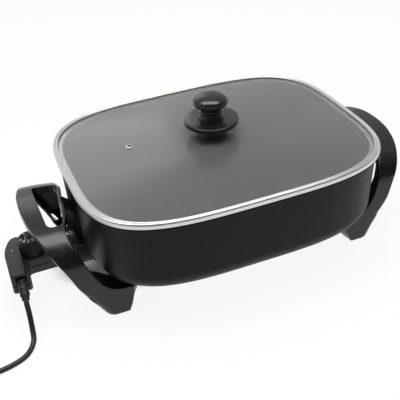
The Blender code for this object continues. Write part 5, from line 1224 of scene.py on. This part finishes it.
def make_housing():
    seam, groove = SPLIT_Z - GAP / 2, SEAM_GROOVE
    low_levels = edge_levels(ARM_BOTTOM_Z, -1) + [(0, seam - groove), (groove, seam)]
    high_levels = [(groove, seam + GAP), (0, seam + GAP + groove)] + edge_levels(ARM_TOP_Z, 1)
    grip = plan_loft(grip_outline, [(0, SPLIT_Z + SHELL_EDGE)] + edge_levels(GRIP_TOP_Z, 1))
    hollow = hollow_outline()
    low_hollow = prism(hollow, ARM_BOTTOM_Z + SHELL_WALL, SPLIT_Z + CUT)
    high_hollow = prism(hollow, SPLIT_Z - CUT, ARM_TOP_Z - SHELL_WALL)

    def cord_exit():
        start = (-RELIEF_X, RELIEF_ROOT_Y + CUT, RELIEF_Z)
        end = (-RELIEF_X, GRIP_NEAR_Y - CUT, RELIEF_Z)
        recess = block((-RELIEF_X - EXIT_HALF_WIDTH, GRIP_NEAR_Y - CUT, EXIT_LOW_Z),
                       (-RELIEF_X + EXIT_HALF_WIDTH, GRIP_NEAR_Y + EXIT_DEPTH, EXIT_HIGH_Z))
        return [hole(RELIEF_ROOT_RADIUS + GAP, start, end), cut(recess)]

    base_steps = [cut(low_hollow)]
    start_x, end_x = -(ARM_NOSE_X - CUT), -(ARM_NOSE_X + NOSE_SOLID + CUT)
    for y, radius in ((TERMINAL_SPREAD, SLEEVE_RADIUS), (-TERMINAL_SPREAD, SLEEVE_RADIUS),
                      (0, PROBE_RADIUS)):
        base_steps.append(hole(radius + GAP, (start_x, y, TERMINAL_Z), (end_x, y, TERMINAL_Z), 32))
    base_steps += cord_exit()
    reach_y = ARM_HALF_Y - SHELL_WALL - CASE_SCREW_HEAD - GAP
    inner_x = -(ARM_NOSE_X + NOSE_SOLID + CASE_SCREW_HEAD * 2)
    for x, y in ((-DIAL_X, reach_y), (inner_x, -reach_y)):
        span = (ARM_BOTTOM_Z - CUT, SPLIT_Z + CUT)
        base_steps.append(bore(CASE_SCREW_RADIUS + GAP, x, y, *span, 24))
    recess_radius = DIAL_RADIUS + DIAL_RIB + SLIDE_GAP
    top = GRIP_TOP_Z + CUT
    cover_steps = [("UNION", grip), bore(recess_radius, -DIAL_X, 0, ARM_TOP_Z - SLIDE_GAP, top, 96),
                   cut(high_hollow), bore(SHAFT_RADIUS + GAP, -DIAL_X, 0, SPLIT_Z, top),
                   bore(LENS_RADIUS + GAP, -LENS_X, LENS_Y, SPLIT_Z, top)] + cord_exit()
    halves = (("base", low_levels, base_steps), ("cover", high_levels, cover_steps))
    for end, levels, steps in halves:
        mesh = shaped(plan_loft(control_outline, levels), steps)
        name, node = "housing_" + end, "control_" + end
        add(name, mesh, "control_moulding", "control", node)


def make_dial():
    low = ARM_TOP_Z + GAP
    high = low + DIAL_HEIGHT
    r, rim, well = DIAL_RADIUS, DIAL_RIM, DIAL_WELL_DEPTH
    # radius, height and how far the ribs stand out
    levels = [(r - 0.0006, low, 0.2), (r, low + 0.0008, 1.0), (r * 0.988, high - 0.0044, 1.0),
              (r * 0.985, high - 0.0036, 0.35), (r * 0.982, high - 0.0030, 0.0),
              (r * 0.975, high - rim * 1.6, 0.0)]
    for k in range(1, 6):
        a = math.pi / 2 * k / 5
        levels.append((DIAL_TOP_RADIUS + (r * 0.975 - DIAL_TOP_RADIUS) * math.cos(a),
                       high - rim * 1.6 * (1 - math.sin(a)), 0.0))
    levels += [(0.0080, high, 0.0), (0.0077, high - 0.0002, 0.0), (0.0075, high - well, 0.0),
               (0.0020, high - well, 0.0)]
    sections = []
    for radius, z, rib in levels:
        points = []
        for a in turns(DIAL_RIBS * 8):
            reach = radius + DIAL_RIB * rib * max(0.0, math.cos(a * DIAL_RIBS)) ** 0.7
            points.append(Vector((reach * math.cos(a) - DIAL_X, reach * math.sin(a), z)))
        sections.append(points)
    shaft = bore(DIAL_BORE, -DIAL_X, 0, low - CUT, low + SHAFT_IN_DIAL + GAP)
    mesh = shaped(loft(sections, angle=35), [shaft], 35)
    add("dial_knob", mesh, "dial_moulding", "dial", "control_dial")
    make_ticks(high)
    band = high - well + PRINT_LIFT
    inner, outer = PRINT_RING
    above = band + PRINT_THICK
    profile = [(outer, band), (outer, above), (inner, above), (inner, band)]
    add("dial_ring", lathe(profile, (-DIAL_X, 0, 0), 64, "Z", True), "dial_print", "dial")
    make_numbers(high)


def make_ticks(high):
    """Ticks round the rim of the dial's face, every third one long."""
    bm = bmesh.new()
    for k in range(TICKS + 1):
        a = math.radians(DIAL_FIRST - DIAL_SPAN * k / TICKS)
        half, inner = (0.00045, 0.0122) if k % TICK_GROUP == 0 else (0.00028, 0.0127)
        along = Vector((math.cos(a), math.sin(a), 0))
        across = Vector((-math.sin(a), math.cos(a), 0))
        corners = [along * inner - across * half, along * TICK_END - across * half,
                   along * TICK_END + across * half, along * inner + across * half]
        join(bm, [corners, [p + Vector((0, 0, PRINT_THICK)) for p in corners]])
    mesh = mesh_from(bm)
    mesh.transform(Matrix.Translation((-DIAL_X, 0, high + PRINT_LIFT)))
    add("dial_ticks", mesh, "dial_print", "dial")


def make_numbers(high):
    """Plain numbers inside the ticks."""
    for k in range(NUMBERS):
        a = math.radians(DIAL_FIRST - DIAL_SPAN * k / (NUMBERS - 1))
        data = bpy.data.curves.new("number", "FONT")
        data.body = str(k)
        data.size = NUMBER_SIZE
        data.offset = 0.00016
        data.extrude = PRINT_THICK / 2
        data.align_x, data.align_y = "CENTER", "CENTER"
        text = placed("number", data)
        bpy.context.view_layer.update()
        graph = bpy.context.evaluated_depsgraph_get()
        mesh = bpy.data.meshes.new_from_object(text.evaluated_get(graph))
        bpy.data.objects.remove(text, do_unlink=True)
        spot = (-DIAL_X + NUMBER_CIRCLE * math.cos(a), NUMBER_CIRCLE * math.sin(a), high + 0.00005)
        mesh.transform(Matrix.Translation(spot) @ Matrix.Rotation(a - math.pi / 2, 4, "Z"))
        add("dial_number_%d" % k, mesh, "dial_print", "dial")


# ---------------------------------------------------------------- cord, relief and plug

def relief_path(count):
    root = Vector((-RELIEF_X, RELIEF_ROOT_Y, RELIEF_Z))
    bend = Vector((-RELIEF_X, RELIEF_BEND_Y, RELIEF_Z))
    end = Vector((-RELIEF_END_X, RELIEF_END_Y, RELIEF_END_Z))
    return [root * (1 - t) ** 2 + bend * 2 * t * (1 - t) + end * t ** 2
            for t in (i / (count - 1) for i in range(count))]


def ring_on(path, i, radius, sides):
    low, high = max(i - 1, 0), min(i + 1, len(path) - 1)
    along = (path[high] - path[low]).normalized()
    up = along.cross(Vector((1, 0, 0))).normalized()
    side = up.cross(along).normalized()
    return [path[i] + side * (radius * math.cos(a)) + up * (radius * math.sin(a))
            for a in turns(sides)]


def make_relief():
    count = RELIEF_STATIONS
    path = relief_path(count)
    sections = []
    for i in range(count):
        t = i / (count - 1)
        radius = RELIEF_ROOT_RADIUS + (RELIEF_END_RADIUS - RELIEF_ROOT_RADIUS) * t
        for low, high in RELIEF_RIB_SHARES:
            inside = (high - low) / 2 + RELIEF_RIB_GROW - abs(t - (low + high) / 2)
            near = clamped(inside / RELIEF_RIB_EASE)
            radius += RELIEF_RIB * (1 - (1 - near) ** 2) ** 0.5
        sections.append(ring_on(path, i, radius, 36))
    mesh = loft(sections, angle=30)
    add("relief_sleeve", mesh, "relief_rubber", "control", "strain_relief")


def smooth_route(route, start_along, end_along, step):
    """Even points along a curve through the route."""
    points = [Vector(p) for p in route]
    tangents = [Vector(start_along).normalized() * (points[1] - points[0]).length]
    tangents += [(c - a) / 2 for a, c in zip(points, points[2:])]
    tangents.append(Vector(end_along).normalized() * (points[-1] - points[-2]).length)
    fine = []
    for i in range(len(points) - 1):
        for k in range(ROUTE_STEPS):
            fine.append(hermite(*points[i:i + 2], *tangents[i:i + 2], k / ROUTE_STEPS))
    fine.append(points[-1])
    return [fine[j].lerp(fine[j + 1], t) for j, t in even_spots(fine, step=step)] + [fine[-1]]


def coil_points():
    """Two flat layers of turns with a climb between them."""
    turn_count = COIL_LAYER_TURNS * 2 + COIL_CLIMB_TURNS
    count = round(turn_count * COIL_POINTS)
    low = CORD_RADIUS + COIL_LIFT
    inner = coil_inner_radius()
    points = []
    for i in range(count + 1):
        turn = turn_count * i / count
        up_share = clamped((turn - COIL_LAYER_TURNS) / COIL_CLIMB_TURNS)
        bow = (1 - abs(2 * up_share - 1)) * COIL_CLIMB_TURNS / 4
        wound = COIL_LAYER_TURNS + bow
        if turn < COIL_LAYER_TURNS:
            wound = turn
        elif turn > COIL_LAYER_TURNS + COIL_CLIMB_TURNS:
            wound = turn_count - turn
        radius = max(COIL_OUTER - COIL_STEP * wound, inner)
        climb = (1 - math.cos(math.pi * up_share)) / 2
        angle = -math.pi / 2 - 2 * math.pi * turn
        points.append(Vector((-COIL_X + radius * math.cos(angle), COIL_Y + radius * math.sin(angle),
                              low + COIL_LAYER_STEP * climb)))
    return points


def coil_inner_radius():
    return COIL_OUTER - COIL_STEP * (COIL_LAYER_TURNS + COIL_CLIMB_TURNS / 4)


def cord_route():
    """The cord's line from the relief through the coil to the plug."""
    coil = coil_points()
    first, last = coil[0] - coil[1], coil[-1] - coil[-2]
    first.z = last.z = 0
    straight = CORD_RADIUS * 2
    coil = [coil[0] + first.normalized() * straight] + coil
    coil.append(coil[-1] + last.normalized() * straight)
    relief = relief_path(17)
    along = (relief[-1] - relief[-2]).normalized()
    enter = (coil[1] - coil[0]).normalized()
    floor = CORD_RADIUS + GAP
    route = [relief[-1] + along * GAP * 3]
    route += [Vector((x, y, max(z, floor))) for x, y, z in CORD_ROUTE]
    route += [coil[0] - enter * straight, coil[0]]
    run = smooth_route(route, along, enter, CORD_STEP)
    run = [Vector((p.x, p.y, max(p.z, floor))) for p in run]
    leave = (coil[-1] - coil[-2]).normalized()
    axis = Vector((0, 1, 0))
    end = Vector((-PLUG_X, PLUG_TAIL_Y, PLUG_FACE_RADIUS + GAP)) - axis * GAP
    route = [coil[-1], coil[-1] + leave * straight, end - axis * straight, end]
    return run[:-1] + coil + smooth_route(route, leave, axis, CORD_STEP)[1:]


def make_cord():
    shift = Vector((SHIFT, 0, 0))
    points = [p + shift for p in cord_route()]
    data = bpy.data.curves.new("mains_cord", "CURVE")
    data.dimensions = "3D"
    data.bevel_depth = CORD_RADIUS
    data.bevel_resolution = 6
    data.use_fill_caps = True
    spline = data.splines.new("POLY")
    spline.points.add(len(points) - 1)
    for slot, point in zip(spline.points, points):
        slot.co = (*point, 1)
    spline.use_smooth = True
    data.materials.append(LOOKS["cord_sheath"])
    cord = placed("mains_cord", data)
    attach(cord, "control")
    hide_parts("cord_run", "cord_coil", "cord_tail")
    plug = make_plug()
    tie = make_tie()


def make_plug():
    f, b, n, length = PLUG_FACE_RADIUS, PLUG_BODY_RADIUS, PLUG_TAIL_RADIUS, PLUG_LENGTH
    depth = PLUG_FACE_DEPTH
    profile = [(0, length, 1), (f - 0.0014, length, 1), (f - 0.0004, length - 0.0005),
               (f - 0.0001, length - 0.0016), (f - 0.0001, length - depth + 0.002),
               (f - 0.0008, length - depth), (b, length - depth * 1.22), (b * 0.97, length * 0.50),
               (b * 0.90, length * 0.40), (n * 1.40, length * 0.29, 1)]
    profile = smooth_points(profile, 6)
    for k in range(3):
        top = length * (0.27 - k * 0.09)
        r = n * (1.25 - k * 0.08)
        profile += [(r, top), (r, top - length * 0.045), (r - 0.0008, top - length * 0.050),
                    (r - 0.0008, top - length * 0.085)]
    profile += [(n * 0.97, 0.0), (0, 0)]
    mesh = lathe(profile, (-PLUG_X, PLUG_TAIL_Y, f + GAP), 64, "Y", False, 30)
    face, z = PLUG_TAIL_Y + length, f + GAP
    holes = []
    for side in (-1, 1):
        x = -PLUG_X + side * PLUG_PIN_SPREAD
        holes.append(hole(PLUG_PIN_RADIUS + GAP, (x, face - CUT, z), (x, face + CUT, z), 32))
    mesh = shaped(mesh, holes, 30)
    return add("plug_moulding", mesh, "relief_rubber", "control", "plug_body")


def make_tie():
    """A band round one side of the coil."""
    low_r, high_r = coil_inner_radius() - CORD_RADIUS - GAP, COIL_OUTER + CORD_RADIUS + GAP
    low_z, high_z = COIL_LIFT - GAP, COIL_LIFT + CORD_RADIUS * 2 + COIL_LAYER_STEP + GAP
    turn = Matrix.Rotation(TIE_ANGLE, 4, "Z")
    centre = Vector((-COIL_X, COIL_Y, (low_z + high_z) / 2))
    thick, bead = TIE_THICK, TIE_BEAD
    sections = []
    for grow, across in ((thick - bead, -1), (thick, -0.9), (thick, 0.9), (thick - bead, 1),
                         (0, 1), (0, -1)):
        x, z, r = (high_r - low_r) / 2 + grow, (high_z - low_z) / 2 + grow, CORD_RADIUS + grow
        loop = rounded_path([(x, z, r), (-x, z, r), (-x, -z, r), (x, -z, r)], 8)
        middle = (low_r + high_r) / 2
        sections.append([centre + turn @ Vector((middle + u, across * TIE_WIDTH / 2, v))
                         for u, v in loop])
    return add("tie_band", loft(sections, True), "tie_strip", "control", "coil_tie")


# ---------------------------------------------------------------- the whole scene

def dress_kept():
    for look, names in KEPT.items():
        for name in names:
            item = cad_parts[name]
            if not item.material_slots:
                item.data.materials.append(LOOKS[look])
            for slot in item.material_slots:
                slot.link = "OBJECT"
                slot.material = LOOKS[look]


def main():
    bpy.context.scene.view_settings.view_transform = "Standard"
    make_camera()
    make_world()
    make_floor()
    make_lamps()
    make_looks()
    make_cord()
    make_pan()
    make_lid()
    make_handle("left", -1)
    make_handle("right", 1)
    make_housing()
    make_dial()
    make_relief()
    dress_kept()


main()
